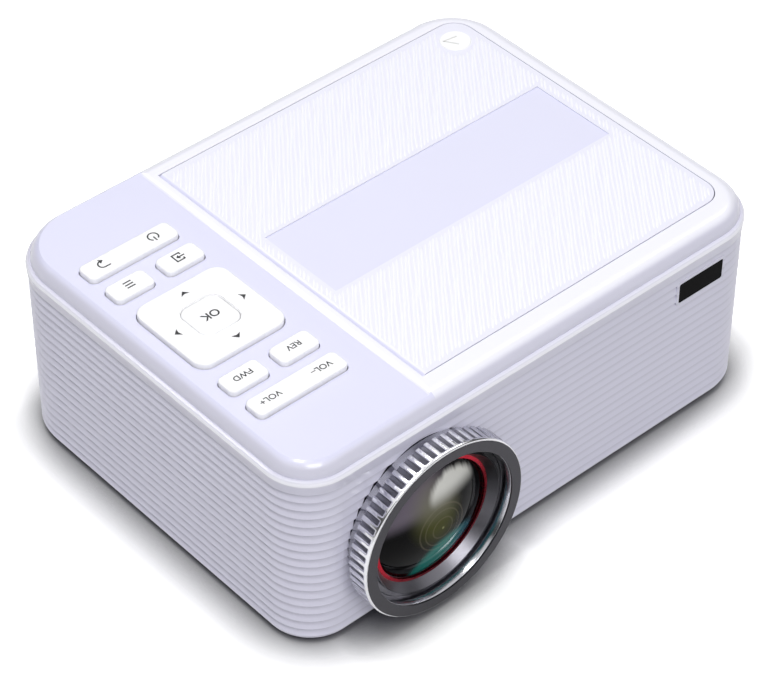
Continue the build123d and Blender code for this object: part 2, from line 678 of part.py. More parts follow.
KEY_BOARD_POSTS = [(-101, 60), (-61, 60), (-101, -53), (-61, -53)]


def key_board_posts():
    """Four posts that hold the switch board to the panel, each with a step that it rests against."""
    posts = []
    for x, y in KEY_BOARD_POSTS:
        posts.append(rod("Z", 1.6, 71.4, 74.0, x, y))
        posts.append(rod("Z", 2.6, 74.0, PANEL_Z - 1.4, x, y))
    return posts


# ---------------------------------------------------------------- lens and focus
KNURL_R = 36.3
KNURL_COUNT = 60
KNURL_BACK_Y = FRONT_Y - 3.5
NECK_R = 31.9
RING_BORE_R = TUBE_R + 0.1
FACE_R0 = 31.3
FACE_R1 = 35.7
FACE_T = 0.6


def focus_ring():
    """Knurled ring: it turns on the lens tube and is kept in the wall by a lip behind it."""
    depth = KNURL_BACK_Y - RING_FACE_Y
    profile = [
        (RING_BORE_R, -18.4),
        (33.8, -18.4),
        (33.8, -17.2),
        (NECK_R, -17.2),
        (NECK_R, -depth),
        (KNURL_R - 0.6, -depth),
        (KNURL_R, -depth + 0.6),
        (KNURL_R, -0.8),
        (FACE_R1, -0.1),
        (FACE_R1, -FACE_T),
        (FACE_R0, -FACE_T),
        (FACE_R0 - 0.3, -4.0),
        (RING_BORE_R, -4.4),
    ]
    ring = turned(profile, axis_y=RING_FACE_Y)
    groove = box(-0.75, 0.75, KNURL_R - 0.9, KNURL_R + 1, -depth - 1, -1.7)
    grooves = []
    for index in range(KNURL_COUNT):
        turn = Pos(LENS_X, RING_FACE_Y, LENS_Z) * Rot(90, 0, 0) * Rot(0, 0, 360 / KNURL_COUNT * index)
        grooves.append(turn * groove)
    return ring - grooves


def ring_face():
    """Dark plate set into the front of the ring."""
    profile = [
        (FACE_R0, -FACE_T),
        (FACE_R1, -FACE_T),
        (FACE_R1, -0.1),
        (FACE_R1 - 0.2, 0),
        (FACE_R0 + 0.2, 0),
        (FACE_R0, -0.1),
    ]
    return turned(profile, axis_y=RING_FACE_Y)


ENGINE_Y0 = -46.0
ENGINE_Y1 = 34.0
ENGINE_HALF_X = 34.0
ENGINE_HALF_Z = 23.0
ENGINE_Z0 = LENS_Z - ENGINE_HALF_Z
ENGINE_Z1 = LENS_Z + ENGINE_HALF_Z
ENGINE_WALL = 2.0


def lens_mount():
    """Fixed tube in front of the light box; the ring turns outside it and the lens cell slides inside."""
    front = -(ENGINE_Y0 - RING_FACE_Y)
    profile = [
        (TUBE_BORE_R, front),
        (TUBE_R + 1.5, front),
        (TUBE_R + 1.5, front + 20),
        (TUBE_R, front + 20),
        (TUBE_R, -5.2),
        (TUBE_BORE_R, -5.2),
    ]
    mount = turned(profile, axis_y=RING_FACE_Y)
    flange = box(LENS_X - 36, LENS_X + 36, ENGINE_Y0 - 3, ENGINE_Y0, LENS_Z - 32, LENS_Z + 32)
    flange = fillet(flange.edges().filter_by(Axis.Y), 5)
    mount += flange
    return mount - rod("Y", TUBE_BORE_R, ENGINE_Y0 - 10, ENGINE_Y0 + 1, LENS_X, LENS_Z)


CELL_R = TUBE_BORE_R - 0.1
TRIM_R0 = 24.6
TRIM_R1 = 25.9
GLASS_R = 24.5


def lens_cell():
    """Barrel with the satin cone that leads the eye down to the front glass."""
    profile = [
        (20.5, -38),
        (CELL_R, -38),
        (CELL_R, -3.9),
        (CELL_R - 0.3, -3.6),
        (TRIM_R1, -7.0),
        (TRIM_R1, -7.8),
        (GLASS_R, -7.8),
        (GLASS_R, -12),
        (22.5, -12),
        (22.5, -30),
        (20.5, -30),
    ]
    return turned(profile, axis_y=RING_FACE_Y)


def lens_trim_ring():
    profile = [(GLASS_R + 0.1, -7.8), (TRIM_R1, -7.8), (TRIM_R1, -7.0), (TRIM_R0, -6.8)]
    return turned(profile, axis_y=RING_FACE_Y)


def dome(radius, height, rim, depth):
    """A plano-convex glass: a cap of the given height on a short cylinder."""
    sphere_r = (radius**2 + height**2) / (2 * height)
    ball = Pos(0, 0, rim + height - sphere_r) * Sphere(sphere_r)
    return ball & rod("Z", radius, rim - depth, rim + height + 1, 0, 0)


def front_glass():
    glass = dome(GLASS_R - 0.05, 4.6, -7.9, 3.2)
    return Pos(LENS_X, RING_FACE_Y, LENS_Z) * Rot(90, 0, 0) * glass


def rear_glass():
    glass = dome(20.4, 4.0, -35.0, 2.8)
    return Pos(LENS_X, RING_FACE_Y, LENS_Z) * Rot(90, 0, 0) * glass


# ---------------------------------------------------------------- light engine
def light_box():
    """Straight optical tunnel with a groove for each plate."""
    x0 = LENS_X - ENGINE_HALF_X
    x1 = LENS_X + ENGINE_HALF_X
    tunnel = box(x0, x1, ENGINE_Y0, ENGINE_Y1, ENGINE_Z0, ENGINE_Z1)
    wall = ENGINE_WALL
    tunnel -= box(x0 + wall, x1 - wall, ENGINE_Y0 - 1, ENGINE_Y1 + 1, ENGINE_Z0 + wall, ENGINE_Z1 - wall)
    for y in PLATE_YS.values():
        for y0, y1 in ((y - 1.6, y - 0.1), (y + PLATE_T + 0.1, y + PLATE_T + 1.6)):
            bar = box(x0 + wall, x1 - wall, y0, y1, ENGINE_Z0 + wall, ENGINE_Z1 - wall)
            lip = wall + 2
            bar -= box(x0 + lip, x1 - lip, y0 - 1, y1 + 1, ENGINE_Z0 + lip, ENGINE_Z1 - lip)
            tunnel += bar
    return tunnel


PLATE_T = 2.0
PLATE_YS = {"front_fresnel": -22.0, "display_panel": -12.0, "rear_fresnel": -2.0, "heat_glass": 8.0}


def engine_plate(y):
    half_x = ENGINE_HALF_X - ENGINE_WALL - 0.1
    half_z = ENGINE_HALF_Z - ENGINE_WALL - 0.1
    return box(LENS_X - half_x, LENS_X + half_x, y, y + PLATE_T, LENS_Z - half_z, LENS_Z + half_z)


def display_panel():
    """Transparent display with its raised metal bezel."""
    y = PLATE_YS["display_panel"]
    panel = engine_plate(y)
    bezel = box(LENS_X - 29.5, LENS_X + 29.5, y - 0.6, y, LENS_Z - 18, LENS_Z + 18)
    bezel -= box(LENS_X - 28, LENS_X + 28, y - 1, y + 1, LENS_Z - 16, LENS_Z + 16)
    return panel + bezel


def condenser_lens():
    glass = dome(19.0, 8.0, 0, 2.0)
    seat = Pos(LENS_X, 27, LENS_Z) * Rot(90, 0, 0) * glass
    plate = box(LENS_X - 31.8, LENS_X + 31.8, 29, 31, LENS_Z - 20.8, LENS_Z + 20.8)
    return seat + plate


def led_board():
    board = box(LENS_X - 30, LENS_X + 30, ENGINE_Y1, ENGINE_Y1 + 1.6, LENS_Z - 21, LENS_Z + 21)
    chip = box(LENS_X - 8, LENS_X + 8, ENGINE_Y1 - 1.4, ENGINE_Y1, LENS_Z - 5, LENS_Z + 5)
    return board + chip


SINK_Y0 = ENGINE_Y1 + 1.6
SINK_BASE = 4.0
FIN_COUNT = 14
FIN_T = 1.2
FIN_DEPTH = 34.0


def heat_sink():
    half_x = 33.0
    sink = box(LENS_X - half_x, LENS_X + half_x, SINK_Y0, SINK_Y0 + SINK_BASE, LENS_Z - 24, LENS_Z + 24)
    fin_y1 = SINK_Y0 + SINK_BASE + FIN_DEPTH
    spacing = (48 - FIN_T) / (FIN_COUNT - 1)
    for index in range(FIN_COUNT):
        z = LENS_Z - 24 + index * spacing
        sink += box(LENS_X - half_x, LENS_X + half_x, SINK_Y0 + SINK_BASE, fin_y1, z, z + FIN_T)
    return sink


FAN_X0 = -109.9
FAN_X1 = -94.9
FAN_Y = 24.0
FAN_Z = 38.5
FAN_HALF = 30.0
FAN_BORE_R = 28.2
FAN_HUB_R = 12.0
BLADE_COUNT = 7


def fan_frame():
    frame = box(FAN_X0, FAN_X1, FAN_Y - FAN_HALF, FAN_Y + FAN_HALF, FAN_Z - FAN_HALF, FAN_Z + FAN_HALF)
    frame = fillet(frame.edges().filter_by(Axis.X), 3)
    frame -= rod("X", FAN_BORE_R, FAN_X0 - 1, FAN_X1 + 1, FAN_Y, FAN_Z)
    strut_x1 = FAN_X0 + 2
    for angle in (45, 135, 225, 315):
        strut = Pos(0, 20, 0) * Box(2, 18, 2.4)
        frame += Pos(FAN_X0 + 1, FAN_Y, FAN_Z) * Rot(angle, 0, 0) * strut
    frame += rod("X", FAN_HUB_R, FAN_X0, strut_x1, FAN_Y, FAN_Z)
    frame += rod("X", 3.0, strut_x1, strut_x1 + 7, FAN_Y, FAN_Z)
    frame -= rod("X", 1.05, FAN_X0 + 1, FAN_X1, FAN_Y, FAN_Z)
    for y in (-25, 25):
        for z in (-25, 25):
            frame -= rod("X", 2.1, FAN_X0 - 1, FAN_X1 + 1, FAN_Y + y, FAN_Z + z)
    return frame


def fan_rotor():
    """Cup-shaped hub with pitched blades, turning on a pin in the frame."""
    x0 = FAN_X0 + 2.8
    x1 = FAN_X1 - 0.6
    rotor = rod("X", FAN_HUB_R, x0, x1, FAN_Y, FAN_Z)
    rotor -= rod("X", FAN_HUB_R - 1.2, x0 - 1, x1 - 1.6, FAN_Y, FAN_Z)
    rotor += rod("X", 1.0, FAN_X0 + 1.4, x1 - 1, FAN_Y, FAN_Z)
    for index in range(BLADE_COUNT):
        root = Plane((0, 0, FAN_HUB_R - 0.4), x_dir=(1, 0, 0), z_dir=(0, 0, 1))
        tip = Plane((0, 0, FAN_BORE_R - 0.8), x_dir=(1, 0, 0), z_dir=(0, 0, 1))
        low = root * Rot(0, 0, 48) * Rectangle(11.0, 1.2)
        high = tip * Rot(0, 0, 30) * Rectangle(12.5, 0.9)
        blade = loft([low, high], ruled=True)
        rotor += Pos((x0 + x1) / 2, FAN_Y, FAN_Z) * Rot(360 / BLADE_COUNT * index, 0, 0) * blade
    return rotor


# ---------------------------------------------------------------- electronics
MAIN_X0 = -20.0
MAIN_X1 = 94.0
MAIN_Y0 = 12.0
MAIN_Y1 = 77.5
POWER_BOARD_X0 = 12.0
POWER_BOARD_Y0 = -62.0
POWER_BOARD_Y1 = -8.0
BOARD_POSTS = [(-8, 20), (88, 20), (-8, 68), (86, 68), (20, -54), (88, -54), (20, -16), (88, -16)]


def circuit_board(x0, x1, y0, y1, blocks):
    """A board on the floor posts with its taller parts: (x, y, width, depth, height) of each."""
    board = box(x0, x1, y0, y1, BOARD_Z, BOARD_Z + BOARD_T)
    for bx, by, width, depth, height in blocks:
        top = BOARD_Z + BOARD_T
        board += box(bx - width / 2, bx + width / 2, by - depth / 2, by + depth / 2, top, top + height)
    return board


def main_board():
    chips = [
        (38, 40, 22, 22, 3.0),
        (66, 44, 14, 10, 2.0),
        (12, 34, 12, 12, 2.0),
        (14, 56, 16, 9, 2.2),
        (66, 26, 18, 8, 1.6),
    ]
    return circuit_board(MAIN_X0, MAIN_X1, MAIN_Y0, MAIN_Y1, chips)


def power_board():
    blocks = [(70, -36, 22, 20, 24), (42, -24, 14, 14, 14), (24, -36, 10, 16, 10)]
    board = circuit_board(POWER_BOARD_X0, MAIN_X1, POWER_BOARD_Y0, POWER_BOARD_Y1, blocks)
    for x, y in ((36, -50), (50, -50)):
        board += rod("Z", 5, BOARD_Z + BOARD_T, BOARD_Z + 22, x, y)
    return board


def receiver_board():
    """Small upright board with the remote receiver's dome behind the dark window."""
    board = box(IR_MID_X - 7, IR_MID_X + 7, FRONT_Y + 8.5, FRONT_Y + 10.1, 58, 71)
    board += box(IR_MID_X - 3, IR_MID_X + 3, FRONT_Y + 5.6, FRONT_Y + 8.5, IR_MID_Z - 3.5, IR_MID_Z + 3.5)
    return board + Pos(IR_MID_X, FRONT_Y + 7.0, IR_MID_Z) * Sphere(2.4)


def ir_window():
    """Glossy dark window with a rim that stops it against the inside of the wall."""
    front = FRONT_Y + RIB_CREST_INSET
    back = FRONT_Y + WALL_INSET
    window = box(IR_X0 + IR_FIT, IR_X1 - IR_FIT, front, back, IR_Z0 + IR_FIT, IR_Z1 - IR_FIT)
    window = fillet(window.edges().filter_by(Axis.Y), IR_CORNER_R - IR_FIT)
    return window + box(IR_X0 - 1.5, IR_X1 + 1.5, back, back + 1.2, IR_Z0 - 1.5, IR_Z1 + 1.5)


def speaker():
    """Oval speaker behind the slots of the right wall."""
    x1 = RIGHT_X - WALL_INSET
    outline = SlotOverall(62, 34)
    body = extrude(outline, amount=11)
    body = chamfer(body.faces().sort_by(Axis.Z)[0].edges(), 6)
    body -= Pos(0, 0, 11 - 4) * extrude(SlotOverall(54, 26), amount=5, taper=-20)
    magnet = Pos(0, 0, -4) * Cylinder(11, 8)
    place = Pos(x1 - 11, SPEAKER_Y, 34) * Rot(0, 90, 0) * Rot(0, 0, 90)
    return place * (body + magnet)


def power_inlet():
    """Two-pole inlet with a rounded pocket and two pins."""
    face_y = BACK_Y - 0.9
    z0 = INLET_Z - 8.9
    z1 = INLET_Z + 8.9
    inlet = box(INLET_X - 11.9, INLET_X + 11.9, face_y - 18, face_y, z0, z1)
    pocket = Pos(INLET_X, face_y + 1, INLET_Z) * Rot(90, 0, 0) * extrude(SlotOverall(17, 9), amount=14)
    inlet -= pocket
    for x in (INLET_X - 4.3, INLET_X + 4.3):
        inlet += rod("Y", 1.2, face_y - 13.5, face_y - 3, x, INLET_Z)
    return inlet


def video_socket():
    y1 = BACK_Y - 1.0
    low = PORT_Z - 3.1
    section = Polyline(
        (-7.6, PORT_Z + 3.0),
        (7.6, PORT_Z + 3.0),
        (7.6, PORT_Z - 0.6),
        (5.6, low),
        (-5.6, low),
        (-7.6, PORT_Z - 0.6),
        close=True,
    )
    outer = extrude(Plane.XZ * make_face(section), amount=12)
    inner = Pos(0, -1.0, 0) * extrude(Plane.XZ * offset(make_face(section), -0.5), amount=11.5)
    tongue = box(-5, 5, -12, -TONGUE_BACK, PORT_Z - 0.5, PORT_Z + 0.8)
    socket = outer - Pos(0, 1.5, 0) * inner + tongue
    return Pos(HDMI_X, y1, 0) * socket


def usb_socket():
    y1 = BACK_Y - 1.0
    shell = box(USB_X - 6.6, USB_X + 6.6, y1 - 14, y1, PORT_Z - 3.1, PORT_Z + 3.1)
    shell -= box(USB_X - 6.1, USB_X + 6.1, y1 - 12, y1 + 1, PORT_Z - 2.6, PORT_Z + 2.6)
    tongue = box(USB_X - 5.4, USB_X + 5.4, y1 - 13, y1 - TONGUE_BACK, PORT_Z + 0.4, PORT_Z + 2.0)
    return shell + tongue


def round_jack(x):
    """Small jack with a round bush through the wall and a body on the board."""
    y1 = BACK_Y - 0.4
    jack = rod("Y", JACK_BUSH_R, y1 - 6, y1, x, PORT_Z)
    jack += box(x - 4.5, x + 4.5, y1 - 17, y1 - 6, BOARD_Z + BOARD_T, PORT_Z + 4)
    return jack - rod("Y", JACK_R, y1 - 14, y1 + 1, x, PORT_Z)


# ---------------------------------------------------------------- feet and fastenings
def rubber_feet():
    side = FOOT_R - 0.2
    foot = [(0, 0), (side - 1, 0), (side, 1), (side, FOOT_SEAT_Z), (0, FOOT_SEAT_Z)]
    return Compound(children=[turned(foot, centre=spot) for spot in FOOT_SPOTS])


def tripod_insert():
    insert = rod("Z", INSERT_R, BASE_Z + 0.2, INSERT_TOP_Z, 0, 0)
    return insert - rod("Z", INSERT_BORE_R, 0, INSERT_TOP_Z - 1.5, 0, 0)


def case_screws():
    """Screws through the floor bosses into the cover's long posts."""
    head_z = COUNTERBORE_Z - 1.9
    profile = [
        (0, head_z),
        (2.2, head_z),
        (2.9, head_z + 0.7),
        (2.9, COUNTERBORE_Z),
        (SCREW_R, COUNTERBORE_Z),
        (SCREW_R, BOSS_TOP_Z + 7),
        (0, BOSS_TOP_Z + 7.6),
    ]
    screws = []
    for x, y in SCREW_SPOTS:
        screw = turned(profile, centre=(x, y))
        screw -= Pos(x, y, head_z + 0.3) * Box(4.2, 0.8, 1.0)
        screw -= Pos(x, y, head_z + 0.3) * Box(0.8, 4.2, 1.0)
        screws.append(screw)
    return Compound(children=screws)


# ---------------------------------------------------------------- write every piece
def main():
    save(lower_shell(), "lower_shell")
    save(top_cover() + key_board_posts(), "top_cover")
    save(disc_lid(), "disc_lid")
    save(lid_hinge_pins(), "lid_hinge_pins")
    save(disc_deck(), "disc_deck")
    save(traverse_frame(), "traverse_frame")
    save(rubber_dampers(), "rubber_dampers")
    save(guide_rods(), "guide_rods")
    save(spindle_motor(), "spindle_motor")
    save(turntable(), "turntable")
    save(feed_motor(), "feed_motor")
    save(lead_screw(), "lead_screw")
    save(pickup_sled(), "pickup_sled")
    save(objective_lens(), "objective_lens")
    save(latch_body(), "latch_body")
    save(latch_slider(), "latch_slider")
    makers = {"power_bar": rocker_bar, "volume_bar": rocker_bar, "direction_pad": direction_pad}
    for name, x, y, width, depth, radius in key_plans():
        save(makers.get(name, push_key)(x, y, width, depth, radius), name)
    save(pad_frame(), "pad_frame")
    save(ok_key(), "ok_key")
    save(key_board(), "key_board")
    save(focus_ring(), "focus_ring")
    save(ring_face(), "ring_face")
    save(lens_mount(), "lens_mount")
    save(lens_cell(), "lens_cell")
    save(lens_trim_ring(), "lens_trim_ring")
    save(front_glass(), "front_glass")
    save(rear_glass(), "rear_glass")
    save(light_box(), "light_box")
    for name in ("front_fresnel", "rear_fresnel", "heat_glass"):
        save(engine_plate(PLATE_YS[name]), name)
    save(display_panel(), "display_panel")
    save(condenser_lens(), "condenser_lens")
    save(led_board(), "led_board")
    save(heat_sink(), "heat_sink")
    save(fan_frame(), "fan_frame")
    save(fan_rotor(), "fan_rotor")
    save(main_board(), "main_board")
    save(power_board(), "power_board")
    save(receiver_board(), "receiver_board")
    save(ir_window(), "ir_window")
    save(speaker(), "speaker")
    save(power_inlet(), "power_inlet")
    save(video_socket(), "video_socket")
    save(usb_socket(), "usb_socket")
    for name, x in JACK_XS.items():
        save(round_jack(x), name)
    save(rubber_feet(), "rubber_feet")
    save(tripod_insert(), "tripod_insert")
    save(case_screws(), "case_screws")


main()
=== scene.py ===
from math import cos, hypot, pi, radians, sin, sqrt, tau

import bpy
from mathutils import Matrix, Vector


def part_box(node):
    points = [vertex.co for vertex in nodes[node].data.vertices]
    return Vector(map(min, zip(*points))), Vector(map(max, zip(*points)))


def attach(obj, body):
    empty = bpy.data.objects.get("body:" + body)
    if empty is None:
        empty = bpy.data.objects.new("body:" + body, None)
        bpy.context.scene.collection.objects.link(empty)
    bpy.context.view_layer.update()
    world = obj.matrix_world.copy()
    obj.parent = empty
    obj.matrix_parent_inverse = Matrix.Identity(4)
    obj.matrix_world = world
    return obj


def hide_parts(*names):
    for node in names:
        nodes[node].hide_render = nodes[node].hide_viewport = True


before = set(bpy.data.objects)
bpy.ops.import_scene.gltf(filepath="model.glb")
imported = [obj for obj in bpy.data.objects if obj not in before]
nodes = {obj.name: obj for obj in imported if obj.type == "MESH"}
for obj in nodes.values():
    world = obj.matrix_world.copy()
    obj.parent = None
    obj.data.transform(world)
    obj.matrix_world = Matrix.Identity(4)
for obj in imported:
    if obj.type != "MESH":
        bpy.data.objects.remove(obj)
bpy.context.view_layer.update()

# A small home projector with a top-loading disc player. Metres, +Z up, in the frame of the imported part.
# Sizes below are in millimetres, and are multiplied by MM where they become geometry.

MM = 0.001


# ---------------------------------------------------------------- places taken from the CAD solids
def middle(node):
    """The middle of a CAD node's box, in millimetres."""
    low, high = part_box(node)
    return [round((a + b) / 2 / MM, 2) for a, b in zip(low, high)]


def top_of(node):
    """The height of a CAD node's highest point, in millimetres."""
    return round(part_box(node)[1].z / MM, 2)


LENS_X, _, LENS_Z = middle("focus_ring")
LENS_FRONT_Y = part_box("ring_face")[0].y / MM
SHELL_LEFT_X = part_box("lower_shell")[0].x / MM
LID_TOP = top_of("top_cover")
KEY_TOP = top_of("ok_key")
PAD_TOP = top_of("direction_pad")

# The wall's ribs lie between grooves at equal steps of height, with a smooth bead at the rim.
FIRST_GROOVE_Z = 6.5
GROOVE_PITCH = 3.86
GROOVE_COUNT = 17
BEAD_Z = (76.1, 78.7)

# The cover: the key panel is sunk below the strip round the lid, and the shoulder falls away from both.
PANEL_SPLIT_Z = 84.6
PANEL_EDGE_X = -50.5
# Heights over which painted shade greys the cover's shoulder.
SHOULDER_SHADE_Z = (84.3, 82.6)

# The lid: the middle of its groove, the sunken smooth band and the push mark.
LID_X = (-47.6, 100.35)
LID_Y = (-65.7, 78.6)
LID_CORNER_R = 8.4
BAND_X = (-41.0, 93.7)
BAND_Y = (-13.0, 25.7)
BAND_SPLIT_Z = 84.8
MARK = (89.8, 67.4)
MARK_R = 6.2
MARK_RISE = 0.22


# ---------------------------------------------------------------- node helpers
def srgb(red, green, blue):
    """A display colour from 0 to 255 as linear RGBA."""
    def linear(value):
        value /= 255
        return value / 12.92 if value <= 0.04045 else ((value + 0.055) / 1.055) ** 2.4

    return (linear(red), linear(green), linear(blue), 1.0)


def grey(level):
    """A linear grey, which may be brighter than white."""
    return (level, level, level, 1.0)


BLACK = grey(0.0)
WHITE = grey(1.0)


def shade(colour, factor):
    return tuple(channel * factor for channel in colour[:3]) + (1.0,)


def new_material(name):
    material = bpy.data.materials.new(name)
    material.use_nodes = True
    return material, material.node_tree, material.node_tree.nodes["Principled BSDF"]


def link(tree, source, target):
    tree.links.new(source, target)


def place(tree):
    """Coordinates fixed to the piece, in metres."""
    return tree.nodes.new("ShaderNodeTexCoord").outputs["Object"]


def maths(tree, operation, a, b=None):
    """A math node of two sockets or numbers."""
    node = tree.nodes.new("ShaderNodeMath")
    node.operation = operation
    for socket, value in zip(node.inputs, (a, b)):
        if isinstance(value, (int, float)):
            socket.default_value = value
        elif value is not None:
            link(tree, value, socket)
    return node.outputs["Value"]


def in_mm(tree, axis):
    """One coordinate of the piece, in millimetres."""
    split = tree.nodes.new("ShaderNodeSeparateXYZ")
    link(tree, place(tree), split.inputs["Vector"])
    return maths(tree, "MULTIPLY", split.outputs[axis], 1 / MM)


def length_of(tree, a, b):
    """The length of the vector (a, b)."""
    squares = maths(tree, "ADD", maths(tree, "MULTIPLY", a, a), maths(tree, "MULTIPLY", b, b))
    return maths(tree, "SQRT", squares)


def soft_step(tree, value, zero_at, one_at):
    """0 at zero_at, 1 at one_at and smooth between them."""
    node = tree.nodes.new("ShaderNodeMapRange")
    node.interpolation_type = "SMOOTHSTEP"
    node.inputs["From Min"].default_value = zero_at
    node.inputs["From Max"].default_value = one_at
    link(tree, value, node.inputs["Value"])
    return node.outputs["Result"]


def noise(tree, scale, detail=2.0, stretch=(1, 1, 1)):
    """Noise from 0 to 1, with scale cells to the metre."""
    mapping = tree.nodes.new("ShaderNodeMapping")
    mapping.inputs["Scale"].default_value = stretch
    link(tree, place(tree), mapping.inputs["Vector"])
    texture = tree.nodes.new("ShaderNodeTexNoise")
    texture.inputs["Scale"].default_value = scale
    texture.inputs["Detail"].default_value = detail
    link(tree, mapping.outputs["Vector"], texture.inputs["Vector"])
    return texture.outputs["Fac"]


# Noise seldom leaves this range.
NOISE_LOW = 0.3
NOISE_HIGH = 0.7


def spread(tree, value, low, high):
    """Maps a noise value onto the range low to high."""
    node = tree.nodes.new("ShaderNodeMapRange")
    node.inputs["From Min"].default_value = NOISE_LOW
    node.inputs["From Max"].default_value = NOISE_HIGH
    node.inputs["To Min"].default_value = low
    node.inputs["To Max"].default_value = high
    link(tree, value, node.inputs["Value"])
    return node.outputs["Result"]


def mix_colour(tree, factor, a, b):
    """Colour a where factor is 0 and b where it is 1: each is a socket or a value."""
    node = tree.nodes.new("ShaderNodeMix")
    node.data_type = "RGBA"
    if isinstance(factor, float):
        node.inputs["Factor"].default_value = factor
    else:
        link(tree, factor, node.inputs["Factor"])
    for socket, value in ((node.inputs["A"], a), (node.inputs["B"], b)):
        if isinstance(value, tuple):
            socket.default_value = value
        else:
            link(tree, value, socket)
    return node.outputs["Result"]


def bump(tree, shader, height, distance):
    node = tree.nodes.new("ShaderNodeBump")
    node.inputs["Distance"].default_value = distance
    link(tree, height, node.inputs["Height"])
    link(tree, node.outputs["Normal"], shader.inputs["Normal"])


# ---------------------------------------------------------------- plastics
# Noise scales are in cells to the metre, and the grain's depth is in millimetres.
DRIFT_SCALE = 22.0
GLOSS_SCALE = 160.0
GRAIN_SCALE = 5200.0
GRAIN_DETAIL = 3.0
TONE_DRIFT = 0.012
GLOSS_DRIFT = 0.015
GRAIN = 0.02
FINE_GRAIN = 0.01
PLASTIC_IOR = 1.5
COAT_ROUGHNESS = 0.1
SATIN_COAT_ROUGHNESS = 0.12


def slow_drift(tree):
    """A slow noise from 0 to 1, for the faint drift of tone that mouldings have."""
    return spread(tree, noise(tree, DRIFT_SCALE), 0.0, 1.0)


def uneven_gloss(tree, roughness):
    return spread(tree, noise(tree, GLOSS_SCALE), roughness - GLOSS_DRIFT, roughness + GLOSS_DRIFT)


def plastic_surface(tree, shader, roughness, coat, coat_roughness, grain, grain_scale=GRAIN_SCALE):
    """The gloss, a clear skin over it and a fine spark-eroded grain."""
    link(tree, roughness, shader.inputs["Roughness"])
    shader.inputs["IOR"].default_value = PLASTIC_IOR
    shader.inputs["Coat Weight"].default_value = coat
    shader.inputs["Coat Roughness"].default_value = coat_roughness
    bump(tree, shader, noise(tree, grain_scale, GRAIN_DETAIL), grain * MM)


def moulded(name, colour, roughness, coat=0.0, grain=GRAIN, grain_scale=GRAIN_SCALE):
    """Injection-moulded plastic of one colour."""
    material, tree, shader = new_material(name)
    tone = mix_colour(tree, slow_drift(tree), shade(colour, 1 - TONE_DRIFT), colour)
    link(tree, tone, shader.inputs["Base Color"])
    plastic_surface(tree, shader, uneven_gloss(tree, roughness), coat, COAT_ROUGHNESS, grain, grain_scale)
    return material


# In pitches from the first groove: the part of each rib that painted shade darkens towards the groove
# above it, and where the lowest rib starts.
GROOVE_SHADE_SPAN = (0.55, 0.97)
PAINTED_GROOVE_SHADE = 0.85
GROOVE_SHADE_START = -0.6
BEAD_CORE = 0.2
BEAD_POLISH = 0.2
# The rim bead's colour is whitened as a painted highlight.
BEAD_PAINTED_HIGHLIGHT = srgb(247, 247, 255)
SHELL_COAT = 0.5


def ribbed_plastic(name, colour, roughness):
    """The tub's plastic: painted shade darkens each rib into the groove above it, and the rim bead is
    polished and whitened as a painted highlight.
    """
    material, tree, shader = new_material(name)
    z = in_mm(tree, "Z")
    pitches = maths(tree, "DIVIDE", maths(tree, "SUBTRACT", z, FIRST_GROOVE_Z), GROOVE_PITCH)
    above_start = maths(tree, "GREATER_THAN", pitches, GROOVE_SHADE_START)
    below_end = maths(tree, "LESS_THAN", pitches, GROOVE_COUNT)
    on_ribs = maths(tree, "MULTIPLY", above_start, below_end)
    groove_shade = soft_step(tree, maths(tree, "FRACT", pitches), *GROOVE_SHADE_SPAN)
    tone = mix_colour(tree, slow_drift(tree), shade(colour, 1 - TONE_DRIFT), colour)
    # Painted shade: each rib's colour darkens towards the groove above it.
    tone = mix_colour(tree, maths(tree, "MULTIPLY", groove_shade, on_ribs), tone, shade(colour, PAINTED_GROOVE_SHADE))
    off_bead = maths(tree, "ABSOLUTE", maths(tree, "SUBTRACT", z, sum(BEAD_Z) / 2))
    # On the rim bead: a painted white highlight in the colour, and a real polish in the gloss.
    bead_highlight_and_polish = soft_step(tree, off_bead, (BEAD_Z[1] - BEAD_Z[0]) / 2, BEAD_CORE)
    link(tree, mix_colour(tree, bead_highlight_and_polish, tone, BEAD_PAINTED_HIGHLIGHT), shader.inputs["Base Color"])
    polish = maths(tree, "MULTIPLY", bead_highlight_and_polish, BEAD_POLISH)
    gloss = maths(tree, "SUBTRACT", uneven_gloss(tree, roughness), polish)
    plastic_surface(tree, shader, gloss, SHELL_COAT, COAT_ROUGHNESS, GRAIN)
    return material


def two_tone(name, roughness, coat, colour_of):
    """Moulded plastic whose base colour comes from colour_of(tree, x, y, z), in millimetres."""
    material, tree, shader = new_material(name)
    colour = colour_of(tree, in_mm(tree, "X"), in_mm(tree, "Y"), in_mm(tree, "Z"))
    darker = maths(tree, "MULTIPLY", slow_drift(tree), TONE_DRIFT)
    link(tree, mix_colour(tree, darker, colour, BLACK), shader.inputs["Base Color"])
    plastic_surface(tree, shader, uneven_gloss(tree, roughness), coat, SATIN_COAT_ROUGHNESS, FINE_GRAIN)
    return material


SHELL = srgb(222, 221, 237)
COVER = srgb(240, 240, 250)
PANEL = srgb(221, 221, 244)
# The shoulder's greyer colour is painted shade.
PAINTED_SHOULDER_SHADE = srgb(220, 219, 235)
LID_GROUND = srgb(233, 233, 246)
LID_RIB = srgb(247, 247, 254)
BAND = srgb(224, 224, 245)
KEY = srgb(250, 250, 252)
MARK_EDGE = 0.1


def cover_colour(tree, x, y, z):
    """Lavender key panel, white strips round the lid, and painted shade that greys the shoulder below them.
    """
    sunken = maths(tree, "LESS_THAN", z, PANEL_SPLIT_Z)
    left = maths(tree, "LESS_THAN", x, PANEL_EDGE_X)
    top = mix_colour(tree, maths(tree, "MULTIPLY", sunken, left), COVER, PANEL)
    # Painted shade on the shoulder below the strips.
    return mix_colour(tree, soft_step(tree, z, *SHOULDER_SHADE_Z), top, PAINTED_SHOULDER_SHADE)


